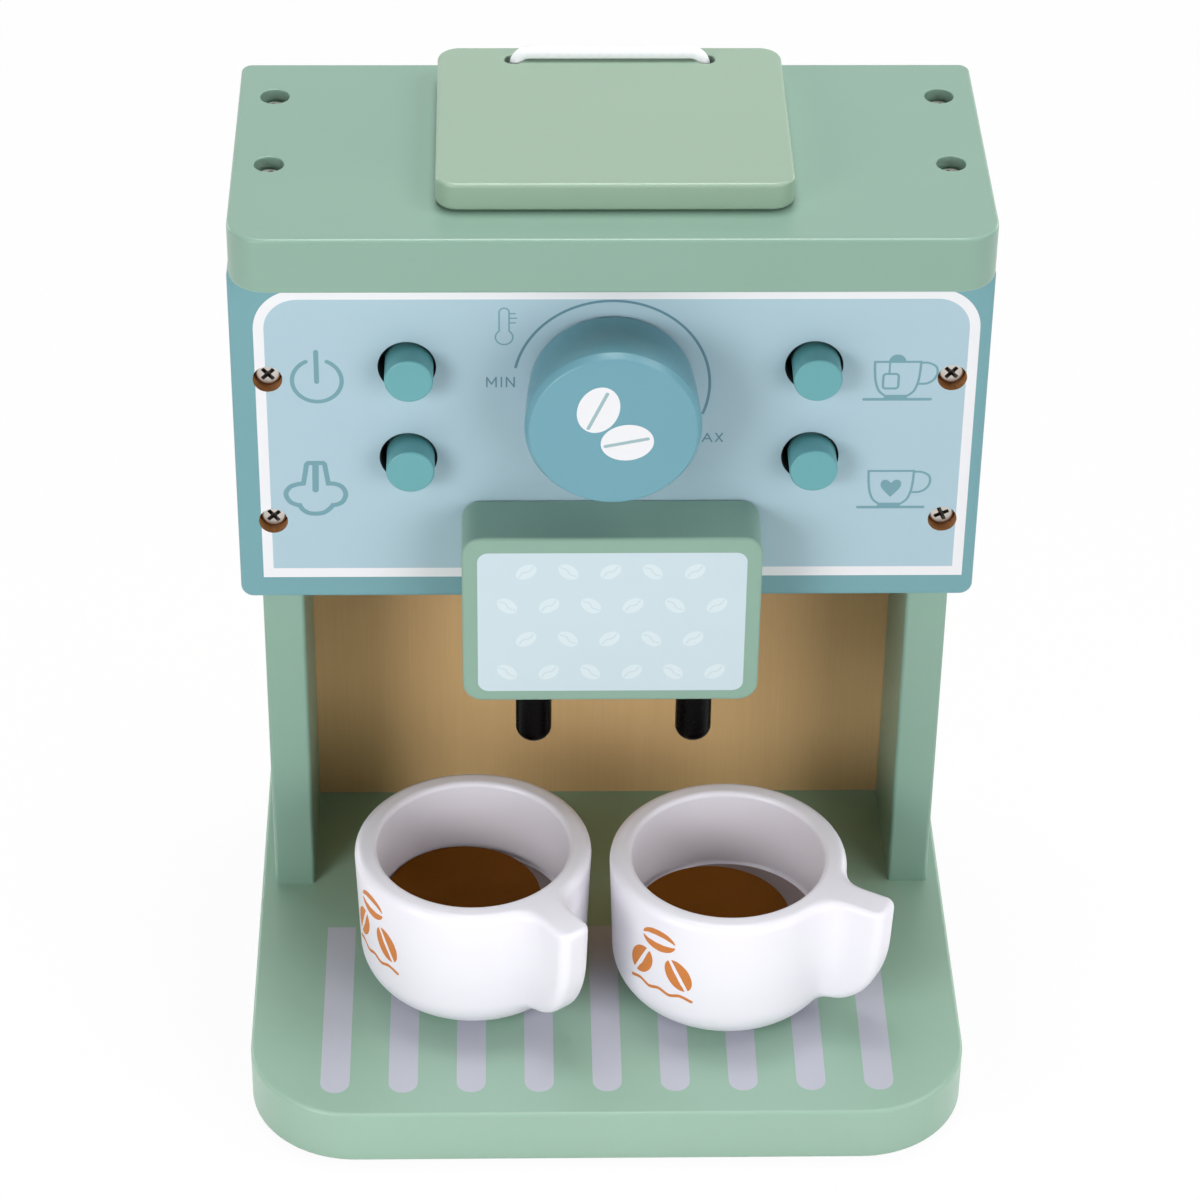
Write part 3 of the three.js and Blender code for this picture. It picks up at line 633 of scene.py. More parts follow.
# A pan-head screw with a cross recess. Its head's underside is at 0 and the head points up.
def screwShell(length):
    s = screwSizes
    half, tip = s["crossLength"] / 2, s["crossWidth"] / 2
    quarter = [(half, -tip), (half + 0.12, 0), (half, tip), (tip + 0.25, tip), (tip + 0.05, tip + 0.05),
               (tip, tip + 0.25)]
    cross = []
    for c, n in ((1, 0), (0, 1), (-1, 0), (0, -1)):
        cross += [(x * c - y * n, x * n + y * c) for x, y in quarter]
    spots = np.array(cross)

    def crossOutline(inset=0.0):
        scale = 1 - inset / half
        return [tuple(p) for p in spots * scale]

    rows = [(s["pointRadius"], -length), (s["shank"], s["pointLength"] - length), (s["shank"], -0.02),
            (s["shank"], 0), (s["head"] - 0.3, 0), (s["head"] - 0.1, 0.08), (s["head"], 0.3)]
    top = s["height"]
    rows += edgeRows(s["head"], top, s["edge"], s["edge"], steps=5, strip=0.15)
    # The recess takes the second material, the zinc darkened as painted shade.
    recess = {"outline": crossOutline, "opens": "top", "slot": 1,
              "rows": [(-0.04, top), (0, top - 0.06), (0.45, top - s["crossDepth"] * 0.6),
                       (0.95, top - s["crossDepth"])]}
    return turnedShell(rows, 40, [recess])


def screw(name, length, place, body, spin=0.0):
    piece = makePiece(f"{name}_plated", screwShell(length), place @ Matrix.Rotation(math.radians(spin), 4, "Z"),
                      [zincSteel, shadedRecessSteel], 40)
    return dress(piece, body, "bright_steel", name)


# A hole's rounded mouth as (inset, depth) rows, wider than the hole at the face.
def mouthRows(mouth, steps=3):
    return [(-inset, depth) for inset, depth in softRows(mouth, steps)]


def plainHole(radius, centre, top, bottom, opens="both", slot=0, mouth=0.0, count=64):
    soft = mouthRows(mouth) if mouth else [(0, 0)]
    rows = [(inset, top - depth) for inset, depth in soft]
    rows += [(inset, bottom + depth) for inset, depth in soft[::-1]]
    return {"outline": roundOutline(radius, centre, count), "rows": rows, "opens": opens, "slot": slot}


def pilotHole(centre, top, bottom, opens="both"):
    return plainHole(screwHole["pilotRadius"], centre, top, bottom, opens, count=24)


# A screw's stepped hole through a board, with its seat sunk from above.
def seatedHole(centre, top, seat, slot=0, mouth=0.0):
    rows = [(inset, top - depth) for inset, depth in mouthRows(mouth)] if mouth else [(0, top)]
    rows += [(0, seat), (screwHole["step"], seat), (screwHole["step"], 0)]
    return {"outline": roundOutline(screwHole["seatRadius"], centre), "rows": rows, "opens": "both",
            "slot": slot}


# The same with its seat sunk from below.
def seatedBelow(centre, top, seat, slot=0):
    rows = [(screwHole["step"], top), (screwHole["step"], seat), (0, seat), (0, 0)]
    return {"outline": roundOutline(screwHole["seatRadius"], centre), "rows": rows, "opens": "both",
            "slot": slot}


# A round tool for drill, which starts a millimetre outside the face at 0.
def drillBit(radius, depth, count, place):
    return moved(turnedShell([(radius, -1), (radius, depth)], count), place)


sideMiddleX = 90.2
screwRows = {"front": 29.0, "back": 66.0}
sides = (("left", -1), ("right", 1))

# Base board, with the printed drip lines and the screws that come up through it
base = {"width": 200, "depth": 169, "thickness": 17, "frontRadius": 30, "backRadius": 1.6, "soft": 1.1,
        "seat": 5.2, "stripes": 9, "stripeWidth": 8.1, "stripePitch": 18.9, "stripeMiddle": -0.35,
        "stripeFront": -75.2, "stripeBack": -4.5}


def dripLines():
    half = base["stripeWidth"] / 2
    lines = []
    for k in range(base["stripes"]):
        x = base["stripeMiddle"] + (k - (base["stripes"] - 1) / 2) * base["stripePitch"]
        frontEnd = arc((x, base["stripeFront"] + half), half, 180, 360, 24)
        lines += ink(1, [frontEnd + [(x + half, base["stripeBack"]), (x - half, base["stripeBack"])]])
    return lines


baseOutline = roundedOutline(base["width"], base["depth"], base["frontRadius"], steps=24,
                             high=base["backRadius"])
baseHoles = [seatedBelow((sign * sideMiddleX, y), base["thickness"], base["seat"])
             for _, sign in sides for y in screwRows.values()]
basePiece = makePiece("base_board_painted",
                      boardShell(baseOutline, base["thickness"], base["soft"], baseHoles, dripLines()),
                      Matrix(), [palePaint, lilacInk])
dress(basePiece, "case", "pale_paint", "base_board")

# Side boards, with the groove for the back board
side = {"thickness": 11.6, "front": 15.5, "back": 79.5, "bottom": 17, "top": 235.7, "soft": 1.1,
        "grooveFront": 58.4, "grooveBack": 63.0, "grooveDepth": 3.3, "topPilot": 17.1, "bottomPilot": 10.5}
frontScrew = {"x": 91.3, "heights": {"upper": 200.7, "lower": 155.0}, "seatDepth": 4.7, "length": 20,
              "pilot": 16, "turned": {"left": {"upper": 43, "lower": 40}, "right": {"upper": 47, "lower": 25}}}

for name, sign in sides:
    depth = side["back"] - side["front"]
    middle = (side["front"] + side["back"]) / 2
    ring = roundedOutline(side["thickness"], depth, side["soft"], (0, middle), 6)()
    inner = side["thickness"] / 2
    notch = [(inner, side["grooveFront"]), (inner - side["grooveDepth"], side["grooveFront"]),
             (inner - side["grooveDepth"], side["grooveBack"]), (inner, side["grooveBack"])]
    ring = ring[:7] + notch + ring[7:]  # between the corners that face the middle of the toy
    if sign > 0:
        ring = [(-x, y) for x, y in ring[::-1]]
    height = side["top"] - side["bottom"]
    pilots = []
    for y in screwRows.values():
        pilots.append(pilotHole((0, y), height, height - side["topPilot"], "top"))
        pilots.append(pilotHole((0, y), side["bottomPilot"], 0, "bottom"))
    shell = boardShell(fixedOutline(ring), height, 0, pilots)
    piece = makePiece(f"side_board_{name}_painted", shell,
                      Matrix.Translation((sign * sideMiddleX, 0, side["bottom"])), [sagePaint])
    drill(piece, [drillBit(screwHole["pilotRadius"], frontScrew["pilot"], 24,
                           toBack(sign * frontScrew["x"], side["front"], z))
                  for z in frontScrew["heights"].values()])
    dress(piece, "case", "sage_paint", f"side_board_{name}")

# Top board, with the filling hole, the cord's holes and the screw seats
top = {"width": 200, "depth": 95.2, "front": -10.7, "bottom": 235.7, "thickness": 16, "soft": 1.1,
       "frontRadius": 10.5, "backRadius": 3.0, "seat": 10.8}
cordHole = {"radius": 2.55, "middle": 0.65, "half": 26.1, "y": 72.1}
filling = {"width": 63.5, "depth": 33.2, "radius": 6, "centre": (0.65, 37.1),
           "mouth": [(-0.5, 0), (-0.15, 0.15), (0, 0.5)]}


def cordHoles(thickness):
    return [plainHole(cordHole["radius"], (cordHole["middle"] + sign * cordHole["half"], cordHole["y"]),
                      thickness, 0, mouth=0.45, count=40) for _, sign in sides]


fillingOutline = roundedOutline(filling["width"], filling["depth"], filling["radius"], filling["centre"])
fillingRows = [(inset, top["thickness"] - depth) for inset, depth in filling["mouth"]] + filling["mouth"][::-1]
topHoles = cordHoles(top["thickness"])
topHoles.append({"outline": fillingOutline, "rows": fillingRows, "opens": "both", "slot": 0})
topHoles += [seatedHole((sign * sideMiddleX, y), top["thickness"], top["seat"], mouth=0.35)
             for _, sign in sides for y in screwRows.values()]
topOutline = roundedOutline(top["width"], top["depth"], top["frontRadius"],
                            (0, top["front"] + top["depth"] / 2), 14, top["backRadius"])
topPiece = makePiece("top_board_painted", boardShell(topOutline, top["thickness"], top["soft"], topHoles),
                     Matrix.Translation((0, 0, top["bottom"])), [sagePaint])
dress(topPiece, "case", "sage_paint", "top_board")
boardScrew = {"length": 22, "turned": {"front": 20, "back": 65}, "turnedBelow": 30}
for name, sign in sides:
    for row, y in screwRows.items():
        turned = boardScrew["turned"][row] * sign
        screw(f"top_screw_{row}_{name}", boardScrew["length"],
              Matrix.Translation((sign * sideMiddleX, y, top["bottom"] + top["seat"])), "case", turned)
        screw(f"base_screw_{row}_{name}", boardScrew["length"], downward(sign * sideMiddleX, y, base["seat"]),
              "case", turned + boardScrew["turnedBelow"])

# Lid board
lid = {"width": 93.5, "depth": 75.4, "centre": (0.65, 41.4), "bottom": 252.0, "thickness": 7.8, "radius": 6,
       "soft": 1.1}
lidOutline = roundedOutline(lid["width"], lid["depth"], lid["radius"], lid["centre"], 12)
lidPiece = makePiece("lid_board_painted",
                     boardShell(lidOutline, lid["thickness"], lid["soft"], cordHoles(lid["thickness"])),
                     Matrix.Translation((0, 0, lid["bottom"])), [lidPaint])
dress(lidPiece, "lid", "pale_paint", "lid_board")

# Elastic cord: up through both boards, over the lid and down again, with a knot at each end
cord = {"radius": 1.7, "half": 25.55, "y": 72.1, "top": 261.8, "bend": 3.6, "hinge": (251.6, 252.1),
        "knotTop": 235.4, "knotHeight": 5.6, "knotRadius": 3.6, "knotTube": 1.25}


# Its points lie close together between the boards, where the lid bends it.
def cordPath():
    start = cord["knotTop"] - cord["knotHeight"] / 2
    low, high = cord["hinge"]
    heights = np.r_[np.linspace(start, low - 0.1, 12), np.linspace(low, high, 17),
                    np.linspace(high + 0.2, cord["top"] - cord["bend"], 8)]
    left = [(-cord["half"], z) for z in heights]
    left += [(-cord["half"] + cord["bend"] * (1 - math.cos(a)), cord["top"] - cord["bend"] * (1 - math.sin(a)))
             for a in quarterTurn(8)[1:]]
    straight = cord["half"] - cord["bend"]
    span = [(x, cord["top"]) for x in np.linspace(-straight, straight, 30)[1:-1]]
    right = [(-x, z) for x, z in left[::-1]]
    return [(cordHole["middle"] + x, cord["y"], z) for x, z in left + span + right]


# An overhand knot, drawn up tight.
def knotShell(x):
    tube = cord["knotTube"]
    reach = (cord["knotRadius"] - tube) / 3
    rise = cord["knotHeight"] / 2 - tube
    path = []
    for k in range(72):
        t = 2 * math.pi * k / 72
        path.append((x + reach * (math.sin(t) + 2 * math.sin(2 * t)),
                     cord["y"] + reach * (math.cos(t) - 2 * math.cos(2 * t)),
                     cord["knotTop"] - cord["knotHeight"] / 2 - rise * math.sin(3 * t)))
    return tubeShell(path, tube, 12, True)


cordPiece = makePiece("lid_cord_braided",
                      joinShells([tubeShell(cordPath(), cord["radius"], 20)]
                                 + [knotShell(cordHole["middle"] + sign * cord["half"]) for _, sign in sides]),
                      Matrix(), [elasticBraid], 60)
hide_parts("lid_cord")
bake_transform(cordPiece)
print("boards, lid and cord made")

# Front panel with its printed face. X and Z of the part are x and y here.
panel = {"width": 202, "height": 106.2, "thickness": 12, "back": 15.5, "middleZ": 182.6, "radius": 3.5,
         "soft": 1.1, "buttonHole": 7.5, "axleHole": 5.3}
# Its prints and holes take these finishes by number.
panelCoats = {"paint": tealPaint, "white": whiteInk, "sky": skyInk, "teal": tealInk, "slate": slateInk,
              "raw": rawMdf, "scorched": shadeDarkMdf}
panelSlots = {coat: k for k, coat in enumerate(panelCoats)}
buttons = {"power": (-1, 204.5), "steam": (-1, 175.7), "tea": (1, 204.5), "coffee": (1, 175.7)}
buttonColumn = 54.2
knobAxis = (0.3, 198.7)
blockScrew = {"half": 25.6, "middle": 0.6, "z": 145.65, "seatDepth": 2.6, "length": 20, "turned": 30,
              "pilot": 11}
blockScrewX = {name: blockScrew["middle"] + sign * blockScrew["half"] for name, sign in sides}


def panelHoles():
    thick, raw = panel["thickness"], panelSlots["raw"]
    holes = [seatedHole((sign * frontScrew["x"], z), thick, thick - frontScrew["seatDepth"], raw)
             for _, sign in sides for z in frontScrew["heights"].values()]
    # The button holes' walls take the near-black painted shade.
    holes += [plainHole(panel["buttonHole"], (sign * buttonColumn, z), thick, 0,
                        slot=panelSlots["scorched"], mouth=0.3) for sign, z in buttons.values()]
    holes.append(plainHole(panel["axleHole"], knobAxis, thick, 0, slot=raw))
    return holes + [seatedBelow((x, blockScrew["z"]), thick, blockScrew["seatDepth"], raw)
                    for x in blockScrewX.values()]


# A border with square lower corners and round upper ones.
def borderLoop(left, right, low, high, radius):
    return [(left, low), (right, low), *arc((right - radius, high - radius), radius, 0, 90, 14),
            *arc((left + radius, high - radius), radius, 90, 180, 14)]


def powerSign(number):
    middle = (-78.2, 200.2)
    return ink(number, stroke(arc(middle, 6.6, 115, 425), 1.15),
               stroke([(-78.25, 199.9), (-78.25, 209.2)], 1.35))


def steamSign(number):
    left = curve([(-82.77, 167.23), (-84.46, 166.97), (-86.5, 166.03), (-87.63, 163.86), (-86.66, 161.41),
                  (-84.89, 160.31), (-84.0, 160.17)])
    low = curve([(-84.0, 160.17), (-83.15, 158.67), (-81.6, 157.57), (-79.58, 157.34), (-77.54, 157.69),
                 (-75.93, 158.91), (-75.0, 160.14)])
    right = curve([(-75.0, 160.14), (-73.64, 160.41), (-72.26, 161.36), (-71.42, 163.67), (-72.26, 165.98),
                   (-74.14, 167.07), (-76.04, 167.21)])
    jet = [(-81.78, 173.4), (-82.2, 170.6)] + left + low[1:] + right[1:] + [(-76.5, 170.6), (-76.86, 173.4),
                                                                          (-77.3, 173.9), (-81.3, 173.9)]
    return ink(number, stroke(jet, 1.36, True), stroke([(-79.33, 173.6), (-79.54, 165.2)], 1.75))


def thermometerSign(number):
    x, bulb = -28.33, 213.72
    outline = [(x - 1.32, 215.6), (x - 1.32, 221.4), *arc((x, 221.4), 1.32, 180, 0, 10), (x + 1.32, 215.6),
               *arc((x, bulb), 2.3, 55, -235, 36)]
    ticks = [stroke([(-26.8, z), (end, z)], 0.4)
             for z, end in ((221.0, -25.4), (219.6, -25.0), (218.15, -25.4))]
    return ink(number, stroke(outline, 0.42, True), *ticks)


# Dial lettering as separate round-ended lines on a cell one unit wide and high.
letterWidth = 0.42
letterLines = {"M": [(0, 0, 0, 1), (0, 1, 0.5, 0.28), (0.5, 0.28, 1, 1), (1, 1, 1, 0)],
               "I": [(0, 0, 0, 1)],
               "N": [(0, 0, 0, 1), (0, 1, 1, 0), (1, 0, 1, 1)],
               "A": [(0, 0, 0.5, 1), (0.5, 1, 1, 0), (0.2, 0.36, 0.8, 0.36)],
               "X": [(0, 0, 1, 1), (0, 1, 1, 0)]}


def dialWord(number, low, high, cells):
    shapes = []
    bottom, head = low + letterWidth / 2, high - letterWidth / 2
    for letter, left, right in cells:
        left, right = left + letterWidth / 2, right - letterWidth / 2
        for x1, y1, x2, y2 in letterLines[letter]:
            ends = [(left + (right - left) * x, bottom + (head - bottom) * y) for x, y in ((x1, y1), (x2, y2))]
            shapes.append(stroke(ends, letterWidth))
    return ink(number, *shapes)


signLine = 0.66


def cupSign(number, top):
    x1, x2 = 70.4, 82.7
    bowl = curve([(x1, top), (x1 + 0.1, top - 3), (x1 + 0.5, top - 6.4), (71.9, top - 9.2),
                  (73.6, top - 10.75)])
    far = curve([(79.5, top - 10.75), (81.2, top - 9.2), (x2 - 0.5, top - 6.4), (x2 - 0.1, top - 3),
                 (x2, top)])
    handle = curve([(x2 - 0.05, top - 0.3), (84.8, top - 0.35), (86.8, top - 1.5), (87.25, top - 3.5),
                    (86.4, top - 5.6), (84.6, top - 6.8), (82.1, top - 6.95)])
    saucer = [(67.95, top - 11.85), (85.8, top - 11.85)]
    foot = [(72.7, top - 11.8), (79.7, top - 11.8), (79.3, top - 10.8), (73.6, top - 10.8)]
    return ink(number, stroke(bowl + far, signLine, True), stroke(handle, signLine), stroke(saucer, 0.85),
               [foot])


def teaSigns(number):
    tag = roundedOutline(4.1, 4.6, 0.8, (74.9, 199.65), 5)()
    lump = arc((76.4, 205.75), 2.33, 0, 180, 16)
    string = [(74.4, 202), (74.4, 205.6)]
    return cupSign(number, 205.75) + ink(number, [lump], stroke(tag, signLine, True), stroke(string, 0.55))


def heartLoop(centreX, dip, tip, half, crest):
    rightSide = curve([(centreX, dip), (centreX + half * 0.42, crest), (centreX + half * 0.88, crest - 0.35),
                       (centreX + half, dip - 0.75), (centreX + half * 0.72, dip - 2.3), (centreX, tip)])
    return rightSide + [(2 * centreX - x, y) for x, y in rightSide[-2:0:-1]]


signInk, dialInk = panelSlots["teal"], panelSlots["slate"]
panelPrints = (
    ink(panelSlots["white"], [borderLoop(-94.6, 97.8, 136.2, 228.4, 12)])
    + ink(panelSlots["sky"], [borderLoop(-91.8, 95.0, 139.2, 225.4, 9)])
    + powerSign(signInk) + steamSign(signInk) + thermometerSign(signInk) + teaSigns(signInk)
    + cupSign(signInk, 170.8) + ink(signInk, [heartLoop(76.65, 166.9, 162.3, 2.8, 167.9)])
    + ink(dialInk, stroke(arc(knobAxis, 26.2, 167.6, -20.2, 90), 0.75))
    + dialWord(dialInk, 197.96, 201.34, [("M", -33.17, -30.3), ("I", -29.3, -28.88), ("N", -27.93, -25.48)])
    + dialWord(dialInk, 180.3, 183.34, [("M", 20.9, 23.8), ("A", 24.78, 27.74), ("X", 28.36, 30.56)]))

panelOutline = roundedOutline(panel["width"], panel["height"], panel["radius"], (0, panel["middleZ"]), 10)
panelPiece = makePiece("front_panel_printed",
                       boardShell(panelOutline, panel["thickness"], panel["soft"], panelHoles(), panelPrints),
                       toFront(0, panel["back"], 0), list(panelCoats.values()))
dress(panelPiece, "case", "teal_paint", "front_panel")
for name, sign in sides:
    for row, z in frontScrew["heights"].items():
        screw(f"front_screw_{row}_{name}", frontScrew["length"],
              toFront(sign * frontScrew["x"], panel["back"] - panel["thickness"] + frontScrew["seatDepth"], z),
              "case", frontScrew["turned"][name][row])
    screw(f"block_screw_{name}", blockScrew["length"],
          toBack(blockScrewX[name], panel["back"] - blockScrew["seatDepth"], blockScrew["z"]),
          "case", blockScrew["turned"] * sign)
print("front panel made")

# Knob with the two printed beans, on its axle
knob = {"back": 3.0, "length": 22.5, "backRadius": 22, "soft": 1.1, "flank": (22.7, 8), "radius": 23.4,
        "bevel": [(0, 2.5), (0.05, 2.15), (0.19, 1.84), (1.0, 0.36), (1.24, 0.1), (1.6, 0), (1.8, 0)],
        "socketRadius": 5.3, "socketDepth": 12}
axle = {"back": 15.8, "length": 25, "radius": 5, "edge": 0.4, "pilot": 11.2}
washer = {"back": 17.4, "thickness": 1.6, "radius": 9}
knobScrew = {"length": 12, "turned": 20}


# A bean in the second ink with its slit in the third, over an outline in the knob's paint if it hides another.
def beanPrint(centre, longHalf, shortHalf, tilt, slit, under):
    shape = ink(0, [ellipse(centre, longHalf + 0.6, shortHalf + 0.6, tilt)]) if under else []
    shape += ink(1, [ellipse(centre, longHalf, shortHalf, tilt)])
    return shape + ink(2, stroke(slit, 0.95))


def aboutKnob(point):
    return (point[0] - knobAxis[0], point[1] - knobAxis[1])


knobPrints = (
    beanPrint(aboutKnob((-3.75, 205.55)), 7.2, 5.5, 72.2,
              [aboutKnob(p) for p in ((-1.47, 210.58), (-6.36, 199.88))], False)
    + beanPrint(aboutKnob((3.94, 195.38)), 7.03, 5.57, 8.0,
                [aboutKnob(p) for p in ((-1.88, 194.21), (9.35, 196.59))], True))
knobRows = [(knob["backRadius"] - knob["soft"] - 0.2, 0)]
knobRows += [(knob["backRadius"] - inset, height) for inset, height in softRows(knob["soft"], 5)]
knobRows.append(knob["flank"])
knobRows += [(knob["radius"] - inset, knob["length"] - depth) for inset, depth in knob["bevel"]]
socket = plainHole(knob["socketRadius"], (0, 0), knob["socketDepth"], 0, "bottom", count=40)
knobPiece = makePiece("knob_turned", turnedShell(knobRows, 128, [socket], knobPrints),
                      toFront(knobAxis[0], knob["back"], knobAxis[1]), [knobPaint, whiteInk, ashInk])
dress(knobPiece, "knob_set", "knob_paint", "knob")
axleRows = [(axle["radius"] - axle["edge"], 0), (axle["radius"], axle["edge"]),
            (axle["radius"], axle["length"] - axle["edge"]), (axle["radius"] - axle["edge"], axle["length"])]
axlePiece = makePiece("knob_axle_turned",
                      turnedShell(axleRows, 40, [pilotHole((0, 0), axle["pilot"], 0, "bottom")]),
                      toFront(knobAxis[0], axle["back"], knobAxis[1]), [beechRod])
dress(axlePiece, "knob_set", "bare_wood", "knob_axle")
washerRows = [(washer["radius"] - inset, height) for inset, height in ((0.3, 0), (0.05, 0.1), (0, 0.3))]
washerRows += [(radius, washer["thickness"] - height) for radius, height in washerRows[::-1]]
washerPiece = makePiece("knob_washer_stamped",
                        turnedShell(washerRows, 48, [pilotHole((0, 0), washer["thickness"], 0)]),
                        toFront(knobAxis[0], washer["back"], knobAxis[1]), [zincSteel])
dress(washerPiece, "knob_set", "bright_steel", "knob_washer")
screw("knob_screw", knobScrew["length"], toBack(knobAxis[0], washer["back"], knobAxis[1]), "knob_set",
      knobScrew["turned"])

# Push buttons with their flanges and springs
button = {"radius": 6.5, "shift": 0.6, "face": -4.0, "edge": 0.65, "flangeFront": 15.8, "flangeBack": 18.8,
          "flange": 9.1, "flangeEdge": 0.4}
spring = {"radius": 4.4, "wire": 0.45, "front": 19.6, "back": 28.4, "turns": 4, "deadTurns": 0.9}


# A coil whose end turns lie wire on wire.
def springPath(x, z):
    wire = spring["wire"]
    total = spring["turns"] + 2 * spring["deadTurns"]
    free = spring["back"] - spring["front"] - 2 * spring["deadTurns"] * 2 * wire
    path = []
    for k in range(int(total * 24) + 1):
        turn = k / 24
        dead = min(turn, spring["deadTurns"]) + max(turn - spring["deadTurns"] - spring["turns"], 0)
        live = min(max(turn - spring["deadTurns"], 0), spring["turns"]) / spring["turns"]
        angle = 2 * math.pi * turn
        path.append((x + spring["radius"] * math.cos(angle), spring["front"] + dead * 2 * wire + live * free,
                     z + spring["radius"] * math.sin(angle)))
    return path


buttonLength = button["flangeBack"] - button["face"]
flangeDepth = button["flangeBack"] - button["flangeFront"]
flange, bevel = button["flange"], button["flangeEdge"]
buttonRows = [(flange - 0.6, 0), (flange - bevel, 0), (flange, bevel), (flange, flangeDepth - bevel),
              (flange - bevel, flangeDepth), (button["radius"] + 0.2, flangeDepth),
              (button["radius"], flangeDepth), (button["radius"], flangeDepth + 0.3)]
buttonRows += edgeRows(button["radius"], buttonLength, button["edge"], button["edge"])
for name, (sign, z) in buttons.items():
    x = sign * buttonColumn + button["shift"]
    piece = makePiece(f"button_{name}_turned", turnedShell(buttonRows, 72), toFront(x, button["flangeBack"], z),
                      [buttonPaint])
    dress(piece, f"{name}_button", "button_paint", f"button_{name}")
    coil = makePiece(f"button_spring_{name}_coiled", tubeShell(springPath(x, z), spring["wire"], 8), Matrix(),
                     [springSteel], 60)
    dress(coil, "case", "bright_steel", f"button_spring_{name}")
    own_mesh(coil)
print("knob and buttons made")

# Spout block with its printed label, and the two nozzles
block = {"width": 81.2, "height": 54.4, "thickness": 19, "back": 3.5, "centre": (0.6, 134.6), "radius": 5.5,
         "soft": 1.1, "bottom": 107.4}
label = {"centre": (0.65, 134.1), "width": 72.9, "height": 46.2, "radius": 3}
labelBeans = {"rows": 4, "columns": 6, "first": (8, 6.4), "pitch": (11.4, 11.2), "shift": 5.2, "margin": 5,
              "longHalf": 3.1, "shortHalf": 2.1, "slit": [(-2.5, -0.25), (-0.8, 0.3), (0.8, -0.3), (2.5, 0.25)],
              "slitWidth": 0.45}
nozzle = {"radius": 5, "tip": 4, "top": 115.1, "bottom": 88.1, "y": -6, "socketRadius": 5.3, "socketDepth": 8,
          "places": {"left": -20.4, "right": 24.2}}


# The label's own pattern: small beans in staggered rows, tilted to one side and the other by turns.
def labelPattern():
    shapes = []
    left, low = label["centre"][0] - label["width"] / 2, label["centre"][1] - label["height"] / 2
    for row in range(labelBeans["rows"]):
        for column in range(labelBeans["columns"]):
            x = left + labelBeans["first"][0] + column * labelBeans["pitch"][0] + row % 2 * labelBeans["shift"]
            y = low + labelBeans["first"][1] + row * labelBeans["pitch"][1]
            if x < left + label["width"] - labelBeans["margin"]:
                tilt = 35 if (row + column) % 2 else -40
                bean = ellipse((x, y), labelBeans["longHalf"], labelBeans["shortHalf"], tilt, 28)
                slit = curve(tilted(labelBeans["slit"], (x, y), tilt), steps=4)
                shapes += ink(2, [bean]) + ink(1, stroke(slit, labelBeans["slitWidth"]))
    return shapes


labelOutline = roundedOutline(label["width"], label["height"], label["radius"], label["centre"])
blockOutline = roundedOutline(block["width"], block["height"], block["radius"], block["centre"], 12)
blockHoles = [pilotHole((x, blockScrew["z"]), blockScrew["pilot"], 0, "bottom") for x in blockScrewX.values()]
blockPiece = makePiece("spout_block_printed",
                       boardShell(blockOutline, block["thickness"], block["soft"], blockHoles,
                                  ink(1, [labelOutline()]) + labelPattern()),
                       toFront(0, block["back"], 0), [sagePaint, mistInk, frostInk])
drill(blockPiece, [drillBit(nozzle["socketRadius"], nozzle["socketDepth"], 48,
                            Matrix.Translation((x, nozzle["y"], block["bottom"])))
                   for x in nozzle["places"].values()])
dress(blockPiece, "case", "sage_paint", "spout_block")
nozzleRows = [(nozzle["radius"] - inset, height) for inset, height in ((0.8, 0), (0.2, 0.15), (0, 0.6))]
nozzleRows += edgeRows(nozzle["radius"], nozzle["top"] - nozzle["bottom"], nozzle["tip"], nozzle["tip"],
                       steps=12, strip=0.3)
for name, x in nozzle["places"].items():
    piece = makePiece(f"nozzle_{name}_lacquered", turnedShell(nozzleRows),
                      downward(x, nozzle["y"], nozzle["top"]), [blackLacquer])
    dress(piece, "case", "black_paint", f"nozzle_{name}")
print("spout block made")

# Cups: a turned bowl whose carved handle flows into the wall, from one distance field
cup = {"radius": 33.3, "draft": 1.1, "height": 45, "bottomRadius": 13, "hollow": 27.1, "taper": 0.2,
       "floor": 19.6, "fillet": 1.6, "rim": 2.6, "mouth": 1.5, "handleHalf": 5, "handleEdge": 3.4,
       "handleRim": 1.8, "rimChange": (31, 38), "rise": 8.2, "sweepLength": 17.5, "sweepHeight": 23.8,
       "sweepKnee": 8.8, "lean": 0.6, "blend": 8.0, "blendFoot": 0.4, "blendRise": 0.35}
cups = {"left": {"centre": (-37.5, -21.5), "handle": -53.7, "end": 49.0, "badge": -149, "badgeHeight": 30.0,
                 "disc": 135},
        "right": {"centre": (34.1, -26.5), "handle": -29.2, "end": 50.2, "badge": -128, "badgeHeight": 28.5,
                  "disc": 200}}


# Distance to the handle's side view, as a table over x and z. The side view runs on above the cup.
sideView = {"reach": 64, "margin": 4, "step": 0.25, "above": 12}


